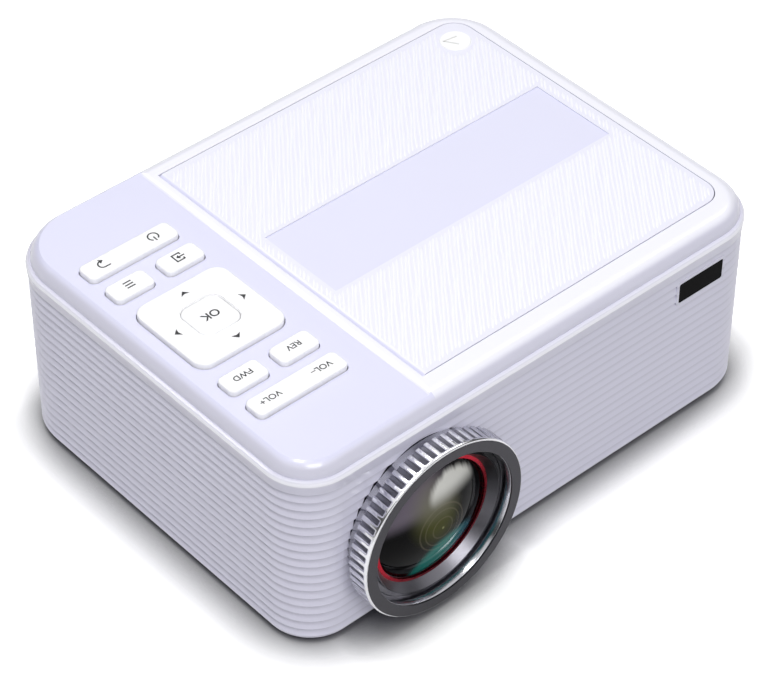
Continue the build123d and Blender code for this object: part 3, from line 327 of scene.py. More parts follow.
def lid_colour(tree, x, y, z):
    """Pale ground between the ribs, a lavender sunken band and a white push mark."""
    top = mix_colour(tree, maths(tree, "LESS_THAN", z, BAND_SPLIT_Z), LID_GROUND, BAND)
    across = maths(tree, "SUBTRACT", x, MARK[0])
    along = maths(tree, "SUBTRACT", y, MARK[1])
    reach = length_of(tree, across, along)
    return mix_colour(tree, soft_step(tree, reach, MARK_R + MARK_EDGE, MARK_R - MARK_EDGE), top, KEY)


# ---------------------------------------------------------------- metals and glass
METAL_SHADE = 0.9
POLISH = 0.02


def metal(name, colour, roughness, scale=900.0, spread_by=0.06):
    """Metal with fine specks that vary its gloss."""
    material, tree, shader = new_material(name)
    grain = noise(tree, scale, GRAIN_DETAIL)
    link(tree, mix_colour(tree, grain, shade(colour, METAL_SHADE), colour), shader.inputs["Base Color"])
    low = max(roughness - spread_by, POLISH)
    link(tree, spread(tree, grain, low, roughness + spread_by), shader.inputs["Roughness"])
    shader.inputs["Metallic"].default_value = 1.0
    return material


# Painted shade on the lens cone: its colour sweeps from dark at this angle to light opposite it.
CONE_SHADE_AT = radians(35)
CONE_SHADE_SWEEP = (1.0, -0.35)
CONE_SHADED_AND_LIT = (srgb(26, 26, 29), srgb(122, 121, 128))
CONE_ROUGHNESS = (0.3, 0.42)
BRUSH_SCALE = 700.0
BRUSH_STRETCH = (1, 12, 1)
BRUSH_SHADE = 0.14


def satin_metal():
    """Brushed cone round the lens: painted shade sweeps round it with the angle, dark towards the upper
    right.
    """
    material, tree, shader = new_material("satin_cone")
    x = maths(tree, "SUBTRACT", in_mm(tree, "X"), LENS_X)
    z = maths(tree, "SUBTRACT", in_mm(tree, "Z"), LENS_Z)
    turn = maths(tree, "SUBTRACT", maths(tree, "ARCTAN2", x, z), CONE_SHADE_AT)
    tone = soft_step(tree, maths(tree, "COSINE", turn), *CONE_SHADE_SWEEP)
    colour = mix_colour(tree, tone, *CONE_SHADED_AND_LIT)
    grain = noise(tree, BRUSH_SCALE, GRAIN_DETAIL, BRUSH_STRETCH)
    darker = mix_colour(tree, BRUSH_SHADE, colour, BLACK)
    link(tree, mix_colour(tree, grain, darker, colour), shader.inputs["Base Color"])
    link(tree, spread(tree, grain, *CONE_ROUGHNESS), shader.inputs["Roughness"])
    shader.inputs["Metallic"].default_value = 1.0
    return material


def optical(name, tint):
    """Clear glass that lets light straight through, polished but for a trace of unevenness."""
    material, tree, shader = new_material(name)
    shader.inputs["Base Color"].default_value = tint
    link(tree, spread(tree, noise(tree, 300.0), POLISH, 2 * POLISH), shader.inputs["Roughness"])
    shader.inputs["Transmission Weight"].default_value = 1.0
    shader.inputs["IOR"].default_value = 1.45
    return material


def dark_window():
    """Smooth dark plastic, nearly without reflections, that only infrared light passes."""
    material = moulded("window_gloss", srgb(8, 8, 9), 0.12, grain=0.0)
    shader = material.node_tree.nodes["Principled BSDF"]
    shader.inputs["Specular IOR Level"].default_value = 0.02
    return material


# ---------------------------------------------------------------- the finish of every CAD node
shell_plastic = ribbed_plastic("shell_plastic", SHELL, 0.34)
cover_plastic = two_tone("cover_plastic", 0.30, 0.6, cover_colour)
lid_plastic = two_tone("lid_plastic", 0.34, 0.2, lid_colour)
rib_plastic = moulded("rib_plastic", LID_RIB, 0.34, coat=0.2)
key_plastic = moulded("key_plastic", KEY, 0.28, coat=0.4, grain=FINE_GRAIN)
dark_plastic = moulded("dark_plastic", srgb(34, 34, 37), 0.45)
deck_plastic = moulded("deck_plastic", srgb(60, 60, 66), 0.42)
filter_cloth = moulded("filter_cloth", srgb(172, 171, 186), 0.8)
legend_ink = moulded("legend_ink", srgb(38, 38, 41), 0.5)
mark_ink = moulded("mark_ink", srgb(214, 214, 212), 0.4)
window_gloss = dark_window()
rubber = moulded("rubber", srgb(40, 40, 42), 0.75, grain=0.04, grain_scale=2400.0)
board_green = moulded("board_green", srgb(28, 96, 62), 0.4)
chrome = metal("chrome", srgb(240, 240, 244), 0.12, scale=500.0, spread_by=0.03)
dark_chrome = metal("dark_chrome", srgb(196, 196, 202), 0.16, scale=600.0, spread_by=0.04)
# Duller metal for the knurl's grooves, darkened as painted shade.
shaded_groove_metal = metal("shaded_groove_metal", srgb(146, 146, 154), 0.4, scale=600.0)
gunmetal = metal("gunmetal", srgb(72, 71, 76), 0.34, scale=1500.0)
satin_cone = satin_metal()
red_metal = metal("red_metal", srgb(176, 18, 44), 0.3)
steel = metal("steel", srgb(190, 190, 194), 0.25)
aluminium = metal("aluminium", srgb(205, 205, 210), 0.35)
brass = metal("brass", srgb(206, 168, 96), 0.25)
clear_glass = optical("clear_glass", srgb(235, 240, 240))

FINISH = {
    shell_plastic: "lower_shell",
    cover_plastic: "top_cover",
    lid_plastic: "disc_lid",
    key_plastic: "power_bar menu_key source_key direction_pad ok_key forward_key reverse_key volume_bar",
    deck_plastic: "disc_deck pad_frame turntable pickup_sled",
    dark_plastic: "light_box latch_body latch_slider fan_frame fan_rotor power_inlet"
    " audio_video_jack headphone_jack speaker",
    steel: "lid_hinge_pins traverse_frame guide_rods spindle_motor feed_motor lead_screw case_screws"
    " video_socket usb_socket",
    aluminium: "heat_sink",
    brass: "tripod_insert",
    board_green: "key_board main_board power_board receiver_board led_board",
    rubber: "rubber_feet rubber_dampers",
    chrome: "focus_ring",
    gunmetal: "ring_face",
    satin_cone: "lens_cell lens_mount",
    red_metal: "lens_trim_ring",
    window_gloss: "ir_window display_panel",
    clear_glass: "front_glass rear_glass objective_lens condenser_lens front_fresnel rear_fresnel heat_glass",
}


def dress(node, material):
    mesh = nodes[node].data
    mesh.materials.clear()
    mesh.materials.append(material)


for finish, names in FINISH.items():
    for node in names.split():
        dress(node, finish)


# ---------------------------------------------------------------- mesh helpers
def new_piece(name, mesh, body):
    """An object for the mesh that rides on a body."""
    piece = bpy.data.objects.new(name, mesh)
    bpy.context.scene.collection.objects.link(piece)
    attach(piece, body)
    return piece


def add_piece(name, points, faces, materials, body, smooth=True, face_materials=None):
    """A piece from points in the part's frame, given in millimetres."""
    mesh = bpy.data.meshes.new(name)
    mesh.from_pydata([tuple(c * MM for c in p) for p in points], [], faces)
    mesh.update()
    for material in materials:
        mesh.materials.append(material)
    if face_materials is not None:
        mesh.polygons.foreach_set("material_index", face_materials)
    mesh.polygons.foreach_set("use_smooth", [smooth] * len(mesh.polygons))
    return new_piece(name, mesh, body)


# ---------------------------------------------------------------- lower shell
CREASE_ANGLE = radians(16)


def ribbed_shell():
    """The tub with every rib's crest and groove as a crisp edge, and its corners still round."""
    mesh = nodes["lower_shell"].data.copy()
    mesh.name = "ribbed_shell"
    custom = mesh.attributes.get("custom_normal")
    if custom is not None:
        mesh.attributes.remove(custom)
    mesh.polygons.foreach_set("use_smooth", [True] * len(mesh.polygons))
    mesh.set_sharp_from_angle(angle=CREASE_ANGLE)
    mesh.update()
    piece = new_piece("ribbed_shell", mesh, "housing")
    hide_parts("lower_shell")


# ---------------------------------------------------------------- focus ring
KNURL_COUNT = 60
KNURL_R = 36.3
KNURL_DEPTH = 1.0
KNURL_BACK = 9.3
STEPS_PER_RIDGE = 12
RIM_DEPTH = 1.7
COLLAR_R = 33.2
COLLAR_BACK = 12.9
NECK_R = 31.9
TAIL_R = 33.8
TAIL_FRONT = 17.2
TAIL_BACK = 18.35
BORE_R = 30.6
FACE_OUTER_R = 35.7
FACE_INNER_R = 31.3
FACE_DEPTH = 0.6

# Shares of half a pitch, from the middle of a ridge: its flat top, its rounded side, and where the
# groove's duller metal, darkened as painted shade, starts.
RIDGE_SHARE = 0.38
SIDE_SHARE = 0.24
KNURL_SHADE_FROM = 0.52


def around_lens(radius, angle, depth):
    """A point of a turned piece: depth is measured back from the ring's front face."""
    return (LENS_X + radius * sin(angle), LENS_FRONT_Y + depth, LENS_Z + radius * cos(angle))


def turned_piece(name, profile, segments, materials, body, kind, ripple):
    """Revolve (radius, depth) points about the lens axis.

    ripple lifts a point by its angle, and kind gives the material of the face after a point."""
    points = []
    faces = []
    kinds = []
    count = len(profile)
    for step in range(segments):
        angle = tau * step / segments
        for index, (radius, depth) in enumerate(profile):
            points.append(around_lens(radius + ripple(index, angle), angle, depth))
    for step in range(segments):
        here = step * count
        there = ((step + 1) % segments) * count
        for index in range(count):
            follow = (index + 1) % count
            faces.append((here + index, here + follow, there + follow, there + index))
            kinds.append(kind(index, tau * (step + 0.5) / segments))
    return add_piece(name, points, faces, materials, body, True, kinds)


def groove_phase(angle):
    """0 on the middle of a ridge and 1 in the middle of a groove."""
    return abs((angle * KNURL_COUNT / tau) % 1.0 - 0.5) * 2


def knurl_lift(angle):
    """Flat-topped ridges with rounded edges and grooves about as wide as the ridges."""
    beyond = groove_phase(angle) - RIDGE_SHARE
    if beyond < 0:
        return 0.0
    t = min(beyond / SIDE_SHARE, 1.0)
    return -KNURL_DEPTH * t * t * (3 - 2 * t)


def focus_ring_piece():
    """The chrome ring: a grooved tail, a collar, the knurl, a plain rim and a hollowed, bevelled face."""
    tail = [
        (BORE_R, TAIL_BACK),
        (TAIL_R, TAIL_BACK),
        (TAIL_R, TAIL_FRONT),
        (NECK_R, TAIL_FRONT),
        (NECK_R, COLLAR_BACK),
        (COLLAR_R, COLLAR_BACK),
        (COLLAR_R, KNURL_BACK + 0.4),
    ]
    knurl = [
        (KNURL_R - 1.1, KNURL_BACK),
        (KNURL_R - 0.2, KNURL_BACK - 0.25),
        (KNURL_R, KNURL_BACK - 0.6),
        (KNURL_R, RIM_DEPTH + 0.25),
    ]
    rim = [
        (KNURL_R, RIM_DEPTH),
        (KNURL_R, 1.0),
        (KNURL_R - 0.12, 0.75),
        (FACE_OUTER_R + 0.05, 0.12),
    ]
    face = [
        (FACE_OUTER_R, FACE_DEPTH),
        (FACE_INNER_R, FACE_DEPTH),
        (FACE_INNER_R - 0.08, FACE_DEPTH + 0.15),
        (BORE_R + 0.15, 2.6),
        (BORE_R + 0.02, 3.6),
        (BORE_R, 4.4),
    ]
    profile = tail + knurl + rim + face
    knurled = range(len(tail), len(tail) + len(knurl))
    bevelled = range(len(profile) - len(face), len(profile) - 1)
    materials = [chrome, dark_chrome, shaded_groove_metal]

    def ripple(index, angle):
        return knurl_lift(angle) if index in knurled else 0.0

    def kind(index, angle):
        if index in bevelled:
            return materials.index(dark_chrome)
        # The grooves get the duller metal, whose darker colour is painted shade.
        if index in knurled and groove_phase(angle) > KNURL_SHADE_FROM:
            return materials.index(shaded_groove_metal)
        return materials.index(chrome)

    segments = KNURL_COUNT * STEPS_PER_RIDGE
    ring = turned_piece(
        "focus_ring_knurled", profile, segments, materials, "focus_ring", kind, ripple
    )
    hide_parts("focus_ring")


# ---------------------------------------------------------------- lens glass
GLASS_R = 24.4
GLASS_RISE = 6.6
GLASS_RIM_DEPTH = 7.9
DOME_STEPS = 24
DOME_SEGMENTS = 128

# Colours of the reflections painted into the lens glass.
GLASS_BLACK = (srgb(3, 3, 4), srgb(7, 7, 8))
SHEEN_REFLECTION = srgb(112, 104, 116)
BEAM_REFLECTION = (srgb(74, 76, 34), srgb(120, 118, 104))
FAN_REFLECTION = (srgb(26, 122, 112), srgb(34, 96, 112))
WINDOW_REFLECTION = (srgb(130, 130, 112), srgb(226, 226, 220))
HALO_REFLECTION = srgb(160, 150, 128)
HALO_REFLECTION_LINES = ((9.8, 0.55), (7.6, 0.45), (4.4, 0.5))
HALO_REFLECTION_STRENGTH = 0.16
PUPIL_REFLECTION = srgb(140, 142, 92)

# Where each painted reflection in the glass fades in, in millimetres right of and above the lens axis: from
# none to full.
SHEEN_SLANT = 0.22
SHEEN_Z = (8.0, 15.0)
SHEEN_X = (10.0, -6.0)
PALER_Z = (2.0, 14.0)
FAN_Z = (-3.0, -8.0)
FAN_BLUER_X = (2.0, 14.0)
WINDOW_Z = (8.5, 16.5)
PUPIL_R = (0.8, 0.1)
RAGGED_BY = 2.6


def ellipse(tree, x, z, centre, half, turn, soft, ragged=None):
    """1 inside a soft-edged ellipse, with its centre and half axes in millimetres and its turn in degrees."""
    dx = maths(tree, "SUBTRACT", x, centre[0])
    dz = maths(tree, "SUBTRACT", z, centre[1])
    if ragged is not None:
        dz = maths(tree, "ADD", dz, ragged)
    c, s = cos(radians(turn)), sin(radians(turn))

    def along(share_x, share_z, reach):
        part_x = maths(tree, "MULTIPLY", dx, share_x / reach)
        return maths(tree, "ADD", part_x, maths(tree, "MULTIPLY", dz, share_z / reach))

    outward = length_of(tree, along(c, s, half[0]), along(-s, c, half[1]))
    return soft_step(tree, outward, 1 + soft, 1 - soft)


def circle_line(tree, radius, at, width):
    """1 on a thin circle about the lens axis."""
    return soft_step(tree, maths(tree, "ABSOLUTE", maths(tree, "SUBTRACT", radius, at)), width, 0.0)


def glass_colour(tree, x, z):
    """Reflections painted into the glass's colour, by the distance right of and above the lens axis.

    Near black, with a violet sheen at the upper left, an olive beam from the pupil upwards, a teal fan
    below it, a studio window at the upper right, and faint rings round the pupil."""
    radius = length_of(tree, x, z)
    colour = mix_colour(tree, noise(tree, 60.0), *GLASS_BLACK)

    slanted = maths(tree, "SUBTRACT", z, maths(tree, "MULTIPLY", x, SHEEN_SLANT))
    upper_left_sheen = maths(tree, "MULTIPLY", soft_step(tree, slanted, *SHEEN_Z), soft_step(tree, x, *SHEEN_X))
    colour = mix_colour(tree, upper_left_sheen, colour, SHEEN_REFLECTION)

    paler = soft_step(tree, z, *PALER_Z)
    beam_reflection = ellipse(tree, x, z, centre=(-2.0, 7.5), half=(8.5, 11.0), turn=0, soft=0.6)
    colour = mix_colour(tree, beam_reflection, colour, mix_colour(tree, paler, *BEAM_REFLECTION))

    fan_reflection = ellipse(tree, x, z, centre=(4.5, -21.5), half=(14.5, 17.0), turn=-14, soft=0.16)
    fan_reflection = maths(tree, "MULTIPLY", fan_reflection, soft_step(tree, z, *FAN_Z))
    colour = mix_colour(tree, fan_reflection, colour, mix_colour(tree, soft_step(tree, x, *FAN_BLUER_X), *FAN_REFLECTION))

    waver = maths(tree, "SUBTRACT", noise(tree, 520.0, 1.0, (1, 0, 0.05)), 0.5)
    waver = maths(tree, "MULTIPLY", waver, RAGGED_BY)
    window_reflection = ellipse(tree, x, z, centre=(6.8, 11.2), half=(11.0, 8.8), turn=-14, soft=0.16, ragged=waver)
    window_reflection = maths(tree, "MULTIPLY", window_reflection, soft_step(tree, z, *WINDOW_Z))
    colour = mix_colour(tree, window_reflection, colour, mix_colour(tree, paler, *WINDOW_REFLECTION))

    halo_reflection = 0.0
    for at, width in HALO_REFLECTION_LINES:
        halo_reflection = maths(tree, "ADD", halo_reflection, circle_line(tree, radius, at, width))
    colour = mix_colour(tree, maths(tree, "MULTIPLY", halo_reflection, HALO_REFLECTION_STRENGTH), colour, HALO_REFLECTION)
    return mix_colour(tree, soft_step(tree, radius, *PUPIL_R), colour, PUPIL_REFLECTION)


def glass_with_painted_reflections():
    """Dark optical glass with reflections of its inner faces and the studio painted into its colour as soft
    patches.
    """
    material, tree, shader = new_material("glass_with_painted_reflections")
    x = maths(tree, "SUBTRACT", in_mm(tree, "X"), LENS_X)
    z = maths(tree, "SUBTRACT", in_mm(tree, "Z"), LENS_Z)
    # The glass's base colour carries the painted reflections.
    link(tree, glass_colour(tree, x, z), shader.inputs["Base Color"])
    shader.inputs["Roughness"].default_value = 0.03
    shader.inputs["IOR"].default_value = 1.5
    shader.inputs["Specular IOR Level"].default_value = 0.06
    return material


def dome_profile():
    """(radius, depth) points of the glass's convex face, from its rim to its middle."""
    ball = (GLASS_R**2 + GLASS_RISE**2) / (2 * GLASS_RISE)
    points = []
    for step in range(DOME_STEPS + 1):
        r = GLASS_R * (1 - step / DOME_STEPS)
        points.append((r, GLASS_RIM_DEPTH - (sqrt(ball**2 - r**2) - (ball - GLASS_RISE))))
    return points


def front_element():
    """The domed front glass."""
    *rings, (_, middle_depth) = dome_profile()
    points = []
    faces = []
    for radius, depth in rings:
        for step in range(DOME_SEGMENTS):
            points.append(around_lens(radius, tau * step / DOME_SEGMENTS, depth))
    points.append(around_lens(0, 0, middle_depth))
    for ring in range(len(rings)):
        start = ring * DOME_SEGMENTS
        for step in range(DOME_SEGMENTS):
            a = start + step
            b = start + (step + 1) % DOME_SEGMENTS
            if ring < len(rings) - 1:
                faces.append((a, b, b + DOME_SEGMENTS, a + DOME_SEGMENTS))
            else:
                faces.append((a, b, len(points) - 1))
    glass = add_piece("front_element", points, faces, [glass_with_painted_reflections()], "lens_cell")
    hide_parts("front_glass")


# ---------------------------------------------------------------- lid ribbing
RIB_ANGLE = radians(51)
RIB_PITCH = 1.5
RIB_HALF = 0.42
RIB_HEIGHT = 0.19
RIB_SINK = 0.02
RIB_STEP = 1.6
RIB_REACH = 110.0
RIB_MARGIN = 1.6
RIB_TIP = 0.3
BAND_MARGIN = 0.8
MARK_MARGIN = 1.2
# Across a rib: shares of its half width and of its height, with the feet just below the lid's face.
RIB_SECTION = ((-1.0, -0.02), (-0.62, 0.72), (0.0, 1.0), (0.62, 0.72), (1.0, -0.02))
# How far a rib wavers, over which run, and how the next rib's waver is shifted.
WAVERS = ((0.16, 9.0, 2.1), (0.10, 4.3, 1.3))


def on_ribbing(x, y):
    """True where the lid's top carries ribs: not at its edges, on the band or round the push mark."""
    if not LID_X[0] + RIB_MARGIN < x < LID_X[1] - RIB_MARGIN:
        return False
    if not LID_Y[0] + RIB_MARGIN < y < LID_Y[1] - RIB_MARGIN:
        return False
    beside_band = BAND_X[0] - BAND_MARGIN < x < BAND_X[1] + BAND_MARGIN
    if beside_band and BAND_Y[0] - BAND_MARGIN < y < BAND_Y[1] + BAND_MARGIN:
        return False
    if hypot(x - MARK[0], y - MARK[1]) < MARK_R + MARK_MARGIN:
        return False
    corner_x = LID_X[1] - LID_CORNER_R
    for corner_y, sign in ((LID_Y[0] + LID_CORNER_R, -1), (LID_Y[1] - LID_CORNER_R, 1)):
        beyond_y = (y - corner_y) * sign
        if x > corner_x and beyond_y > 0 and hypot(x - corner_x, beyond_y) > LID_CORNER_R - RIB_MARGIN:
            return False
    return True


def add_rib(points, faces, run, across):
    """One rib along a run of points, with a rounded crest, and sunk and narrowed at its ends."""
    if len(run) < 3:
        return
    start = len(points)
    for index, centre in enumerate(run):
        tip = index in (0, len(run) - 1)
        half = RIB_HALF * (RIB_TIP if tip else 1.0)
        for offset, share in RIB_SECTION:
            at = centre + across * (offset * half)
            points.append((at.x, at.y, LID_TOP + (-RIB_SINK if tip else share * RIB_HEIGHT)))
    count = len(RIB_SECTION)
    for index in range(len(run) - 1):
        for k in range(count - 1):
            a = start + index * count + k
            faces.append((a, a + 1, a + 1 + count, a + count))


def lid_ribbing():
    """Fine, slightly wavering diagonal ribs across the lid."""
    along = Vector((cos(RIB_ANGLE), sin(RIB_ANGLE)))
    across = Vector((-along.y, along.x))
    lid_middle = Vector((sum(LID_X) / 2, sum(LID_Y) / 2))
    points = []
    faces = []
    for rib in range(int(-RIB_REACH / RIB_PITCH), int(RIB_REACH / RIB_PITCH) + 1):
        run = []
        for step in range(int(2 * RIB_REACH / RIB_STEP) + 1):
            s = -RIB_REACH + step * RIB_STEP
            waver = sum(by * sin(s / over + shift * rib) for by, over, shift in WAVERS)
            centre = lid_middle + along * s + across * (rib * RIB_PITCH + waver)
            if on_ribbing(centre.x, centre.y):
                run.append(centre)
                continue
            add_rib(points, faces, run, across)
            run = []
        add_rib(points, faces, run, across)
    add_piece("lid_ribbing", points, faces, [rib_plastic], "lid")


# ---------------------------------------------------------------- behind the openings
VENT_Y = (-61.0, 64.0)
VENT_Z = (4.0, 52.0)
SHEET_INSET = 2.3
LIP_SINK = 0.5


def filter_sheet():
    """Pale dust cloth right behind the vent slots of the left wall, inside the wall's thickness."""
    x = SHELL_LEFT_X + SHEET_INSET
    (y0, y1), (z0, z1) = VENT_Y, VENT_Z
    points = [(x, y0, z0), (x, y1, z0), (x, y1, z1), (x, y0, z1)]
    face = (0, 3, 2, 1)
    add_piece("filter_cloth_sheet", points, [face], [filter_cloth], "housing", smooth=False)


def rounded_square(half, radius, steps=8):
    """Points round a square with rounded corners."""
    points = []
    for corner in range(4):
        diagonal = pi / 4 + pi / 2 * corner
        cx = (half - radius) * (1 if cos(diagonal) > 0 else -1)
        cy = (half - radius) * (1 if sin(diagonal) > 0 else -1)
        for step in range(steps + 1):
            angle = diagonal - pi / 4 + pi / 2 * step / steps
            points.append((cx + radius * cos(angle), cy + radius * sin(angle)))
    return points


def centre_key_gap():
    """The pale inner lip of the pad round its centre key."""
    inner = rounded_square(half=8.78, radius=4.5)
    outer = rounded_square(half=9.08, radius=4.72)
    count = len(inner)
    pad_x, pad_y, _ = middle("direction_pad")
    points = [(pad_x + x, pad_y + y, KEY_TOP - LIP_SINK) for x, y in inner + outer]
    faces = [(k, k + count, (k + 1) % count + count, (k + 1) % count) for k in range(count)]
    add_piece("pad_inner_lip", points, faces, [key_plastic], "direction_pad", smooth=False)


# ---------------------------------------------------------------- legends on the keys
# They are read by someone who stands behind the object, so they are turned by half a circle.
INK = 0.03
INK_SINK = 0.02
STROKE = 0.56
CAPITAL_SHARE = 0.7
SMALL_WORD = 2.5
LEGEND_SHIFT_Y = 0.4
ARROW_REACH = 14.7


def on_key(key, right=0.0, back=0.0):
    """A place on a key, measured from its middle."""
    x, y, _ = middle(key)
    return (x + right, y + back)


def ink_piece(name, outlines, centre, body, material=legend_ink, top=KEY_TOP, turn=pi):
    """Flat printed shapes: each outline is a list of points about the centre, before the turn."""
    points = []
    faces = []
    for outline in outlines:
        start = len(points)
        count = len(outline)
        for level in (top + INK, top - INK_SINK):
            for x, y in outline:
                px = x * cos(turn) - y * sin(turn)
                py = x * sin(turn) + y * cos(turn)
                points.append((centre[0] + px, centre[1] + py, level))
        faces.append(tuple(range(start, start + count)))
        for k in range(count):
            nxt = (k + 1) % count
            faces.append((start + k, start + count + k, start + count + nxt, start + nxt))
    add_piece(name, points, faces, [material], body, smooth=False)


def bar(x0, y0, x1, y1, width=STROKE):
    """A straight stroke between two points."""
    length = hypot(x1 - x0, y1 - y0)
    nx, ny = -(y1 - y0) / length * width / 2, (x1 - x0) / length * width / 2
    return [(x0 + nx, y0 + ny), (x0 - nx, y0 - ny), (x1 - nx, y1 - ny), (x1 + nx, y1 + ny)]


def arc(radius, start, end, steps=28):
    """A stroke along part of a circle, as short quads, between two angles in degrees."""
    quads = []
    inner, outer = radius - STROKE / 2, radius + STROKE / 2
    for step in range(steps):
        a = radians(start + (end - start) * step / steps)
        b = radians(start + (end - start) * (step + 1) / steps)
        quads.append([
            (outer * cos(a), outer * sin(a)),
            (outer * cos(b), outer * sin(b)),
            (inner * cos(b), inner * sin(b)),
            (inner * cos(a), inner * sin(a)),
        ])
    return quads


def word(name, text, height, centre, key, weight):
    """A printed word, made into a mesh: height is that of its capitals and weight thickens its strokes."""
    curve = bpy.data.curves.new(name + "_outline", "FONT")
    curve.body = text
    curve.size = height * MM / CAPITAL_SHARE
    curve.align_x = "CENTER"
    curve.align_y = "CENTER"
    curve.extrude = INK * MM / 2
    curve.offset = weight * MM
    curve.resolution_u = 5
    source = bpy.data.objects.new(name + "_source", curve)
    bpy.context.scene.collection.objects.link(source)
    bpy.context.view_layer.update()
    mesh = bpy.data.meshes.new_from_object(source.evaluated_get(bpy.context.evaluated_depsgraph_get()))
    bpy.data.objects.remove(source)
    bpy.data.curves.remove(curve)
    at = Vector((centre[0], centre[1], KEY_TOP + INK / 2)) * MM
    mesh.transform(Matrix.Translation(at) @ Matrix.Rotation(pi, 4, "Z"))
    mesh.materials.clear()
    mesh.materials.append(legend_ink)
    new_piece(name, mesh, key)


def symbols():
    """The drawn legends: power, return, menu and source, and the pad's four arrows."""
    power = arc(2.0, 122, 418) + [bar(0, 0.1, 0, 2.5)]
    ink_piece("power_symbol", power, on_key("power_bar", 11.1, 0.3), "power_bar")
    back = arc(1.75, 90, -90) + [bar(-2.3, 1.75, 0.02, 1.75)]
    back += [[(0.3, -0.55), (-1.35, -1.8), (0.3, -2.95)]]
    ink_piece("return_symbol", back, on_key("power_bar", -11.6, 0.2), "power_bar")
    lines = [bar(-1.75, y, 1.75, y) for y in (-1.42, 0, 1.42)]
    ink_piece("menu_symbol", lines, on_key("menu_key", 0.0, LEGEND_SHIFT_Y), "menu_key")
    box = [bar(-1.7, -1.9, 1.7, -1.9), bar(-1.7, 1.9, 1.7, 1.9), bar(1.6, -2.1, 1.6, 2.1)]
    box += [bar(-1.6, -2.1, -1.6, -1.0), bar(-1.6, 1.0, -1.6, 2.1)]
    arrow = [bar(-2.7, 0, -0.4, 0), [(-0.5, 1.05), (-0.5, -1.05), (0.85, 0)]]
    source = on_key("source_key", -0.6, LEGEND_SHIFT_Y)
    ink_piece("source_symbol", box + arrow, source, "source_key")
    head = [(-1.8, -0.95), (0, -0.45), (1.8, -0.95), (0, 1.15)]
    for quarter, name in enumerate(("up", "left", "down", "right")):
        turn = pi / 2 * quarter
        at = on_key("direction_pad", -ARROW_REACH * sin(turn), ARROW_REACH * cos(turn))
        ink_piece(f"arrow_{name}", [head], at, "direction_pad", top=PAD_TOP, turn=turn)


def words():
    """The lettered legends, each on its key."""
    word("ok_word", "OK", 3.4, on_key("ok_key"), "ok_key", weight=0.08)
    for name, text, key, right in (
        ("forward_word", "FWD", "forward_key", 0.0),
        ("reverse_word", "REV", "reverse_key", 0.0),
        ("louder_word", "VOL+", "volume_bar", -11.5),
        ("quieter_word", "VOL\u2013", "volume_bar", 11.1),
    ):
        word(name, text, SMALL_WORD, on_key(key, right, LEGEND_SHIFT_Y), key, weight=0.05)


CHEVRON_WIDTH = 0.6
CHEVRON_VERTEX = (-3.85, 2.65)
CHEVRON_ENDS = ((2.24, 1.71), (0.44, -4.33))


def push_mark():
    """The open chevron in the raised push mark."""
    strokes = [bar(*CHEVRON_VERTEX, *end, CHEVRON_WIDTH) for end in CHEVRON_ENDS]
    ink_piece("push_chevron", strokes, MARK, "lid", mark_ink, top=LID_TOP + MARK_RISE, turn=0.0)


# ---------------------------------------------------------------- build the pieces
ribbed_shell()
focus_ring_piece()
front_element()
lid_ribbing()
filter_sheet()
centre_key_gap()
symbols()
words()
push_mark()


# ---------------------------------------------------------------- floor, light and camera
FLOOR_HALF = 6.0
FLOOR_GAIN = 1.46
CONTACT_REACH = 0.02
CONTACT_POWER = 2.2
CONTACT_SAMPLES = 16
CONTACT_SHADE = srgb(70, 70, 76)
FLOOR_BOUNCE = srgb(182, 182, 186)
FLOOR_MIRRORED = srgb(250, 250, 250)
SKY = 0.37
# What mirrors see of the studio: a bright ceiling above a dim belt of wall, as (height of the direction,
# level).
MIRROR_SKY = ((0.04, 0.75), (0.14, 0.12), (0.40, 0.10), (0.62, 0.95))


def ray_kinds(tree, *names):
    """1 for the named kinds of ray and 0 for the others."""
    paths = tree.nodes.new("ShaderNodeLightPath")
    found = paths.outputs[names[0]]
    for name in names[1:]:
        found = maths(tree, "MAXIMUM", found, paths.outputs[name])
    return found


def floor_paper():
    """White paper: as the camera sees it, its lit part is pure white and a close shadow rims the object."""
    material, tree, shader = new_material("floor_paper")
    contact = tree.nodes.new("ShaderNodeAmbientOcclusion")
    contact.inputs["Distance"].default_value = CONTACT_REACH
    contact.samples = CONTACT_SAMPLES
    close = maths(tree, "POWER", contact.outputs["AO"], CONTACT_POWER)
    seen = mix_colour(tree, close, CONTACT_SHADE, grey(FLOOR_GAIN))
    mirrored = ray_kinds(tree, "Is Glossy Ray", "Is Transmission Ray")
    plain = mix_colour(tree, mirrored, FLOOR_BOUNCE, FLOOR_MIRRORED)
    colour = mix_colour(tree, ray_kinds(tree, "Is Camera Ray"), plain, seen)
    link(tree, colour, shader.inputs["Base Color"])
    shader.inputs["Roughness"].default_value = 0.9
    shader.inputs["Specular IOR Level"].default_value = 0.0
    return material


def add_floor():
    mesh = bpy.data.meshes.new("floor")
    corners = [(-FLOOR_HALF, -FLOOR_HALF, 0), (FLOOR_HALF, -FLOOR_HALF, 0)]
    corners += [(FLOOR_HALF, FLOOR_HALF, 0), (-FLOOR_HALF, FLOOR_HALF, 0)]
    mesh.from_pydata(corners, [], [(0, 1, 2, 3)])
    floor = bpy.data.objects.new("floor", mesh)
    bpy.context.scene.collection.objects.link(floor)
    mesh.materials.append(floor_paper())


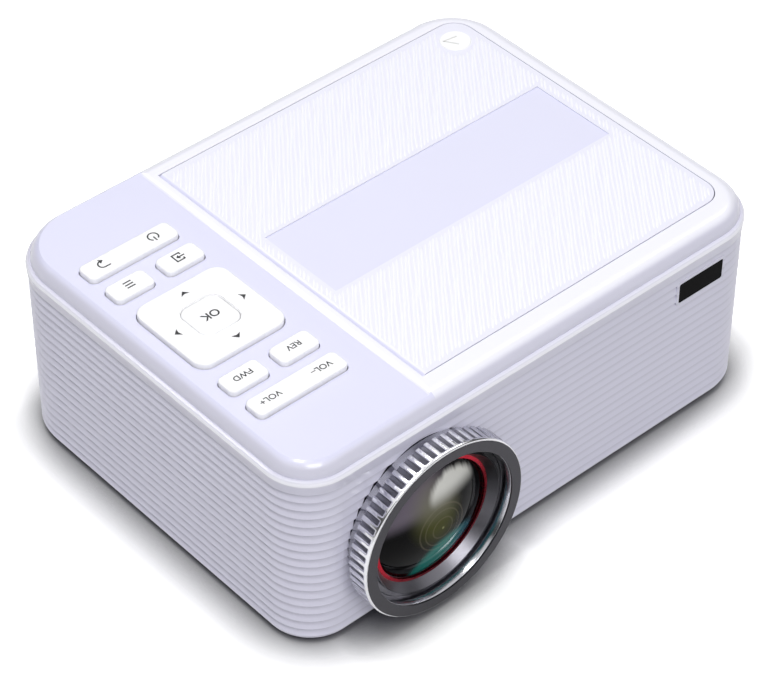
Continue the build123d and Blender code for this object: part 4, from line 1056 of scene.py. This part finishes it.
def add_world():
    """A white studio: soft light from all round, and a ceiling and walls for mirrors to show."""
    world = bpy.data.worlds.new("studio")
    world.use_nodes = True
    tree = world.node_tree
    background = tree.nodes["Background"]
    split = tree.nodes.new("ShaderNodeSeparateXYZ")
    link(tree, tree.nodes.new("ShaderNodeTexCoord").outputs["Generated"], split.inputs["Vector"])
    ramp = tree.nodes.new("ShaderNodeValToRGB")
    ramp.color_ramp.interpolation = "EASE"
    stops = ramp.color_ramp.elements
    lowest, *between, highest = MIRROR_SKY
    for stop, (height, level) in ((stops[0], lowest), (stops[1], highest)):
        stop.position = height
        stop.color = grey(level)
    for height, level in between:
        stops.new(height).color = grey(level)
    link(tree, split.outputs["Z"], ramp.inputs["Fac"])
    colour = mix_colour(tree, ray_kinds(tree, "Is Glossy Ray"), grey(SKY), ramp.outputs["Color"])
    seen = ray_kinds(tree, "Is Camera Ray", "Is Transmission Ray")
    link(tree, mix_colour(tree, seen, colour, WHITE), background.inputs["Color"])
    bpy.context.scene.world = world


def area_light(name, position, target, size, power):
    """A rectangular lamp that faces its target: places and sizes in metres, power in watts."""
    light = bpy.data.lights.new(name, "AREA")
    light.shape = "RECTANGLE"
    light.size, light.size_y = size
    light.energy = power
    lamp = bpy.data.objects.new(name, light)
    bpy.context.scene.collection.objects.link(lamp)
    lamp.location = position
    direction = Vector(target) - Vector(position)
    lamp.rotation_mode = "QUATERNION"
    lamp.rotation_quaternion = direction.to_track_quat("-Z", "Y")


def add_lights():
    upper_part = (0, 0, 0.06)
    walls = (0, 0, 0.04)
    area_light("back_strip", (0.0, 1.0, 1.5), upper_part, (1.3, 0.22), 5.8)
    area_light("right_strip", (0.88, 0.1, 1.5), upper_part, (0.22, 1.1), 5.0)
    area_light("overhead_key", (-0.5, -0.12, 1.45), upper_part, (0.36, 0.36), 4.6)
    area_light("front_fill", (-0.62, -1.3, 1.5), walls, (1.0, 0.8), 15.0)


# The photograph's viewpoint: its heading runs from +X towards +Y, and its tilt is downwards.
CAMERA_AT = (-555.55, -615.94, 777.56)
CAMERA_HEADING = radians(48.3)
CAMERA_TILT = radians(-42.056)
CAMERA_ROLL = radians(0.17)
CAMERA_LENS = 140.73


def add_camera():
    camera = bpy.data.cameras.new("camera")
    camera.lens = CAMERA_LENS
    camera.sensor_width = 36.0
    camera.sensor_fit = "HORIZONTAL"
    camera.clip_start, camera.clip_end = 0.05, 30.0
    eye = bpy.data.objects.new("camera", camera)
    bpy.context.scene.collection.objects.link(eye)
    aim = Matrix.Rotation(CAMERA_HEADING - pi / 2, 4, "Z") @ Matrix.Rotation(pi / 2 + CAMERA_TILT, 4, "X")
    roll = Matrix.Rotation(CAMERA_ROLL, 4, "Z")
    eye.matrix_world = Matrix.Translation(Vector(CAMERA_AT) * MM) @ aim @ roll
    bpy.context.scene.camera = eye


add_floor()
add_world()
add_lights()
add_camera()
bpy.context.scene.view_settings.view_transform = "Standard"
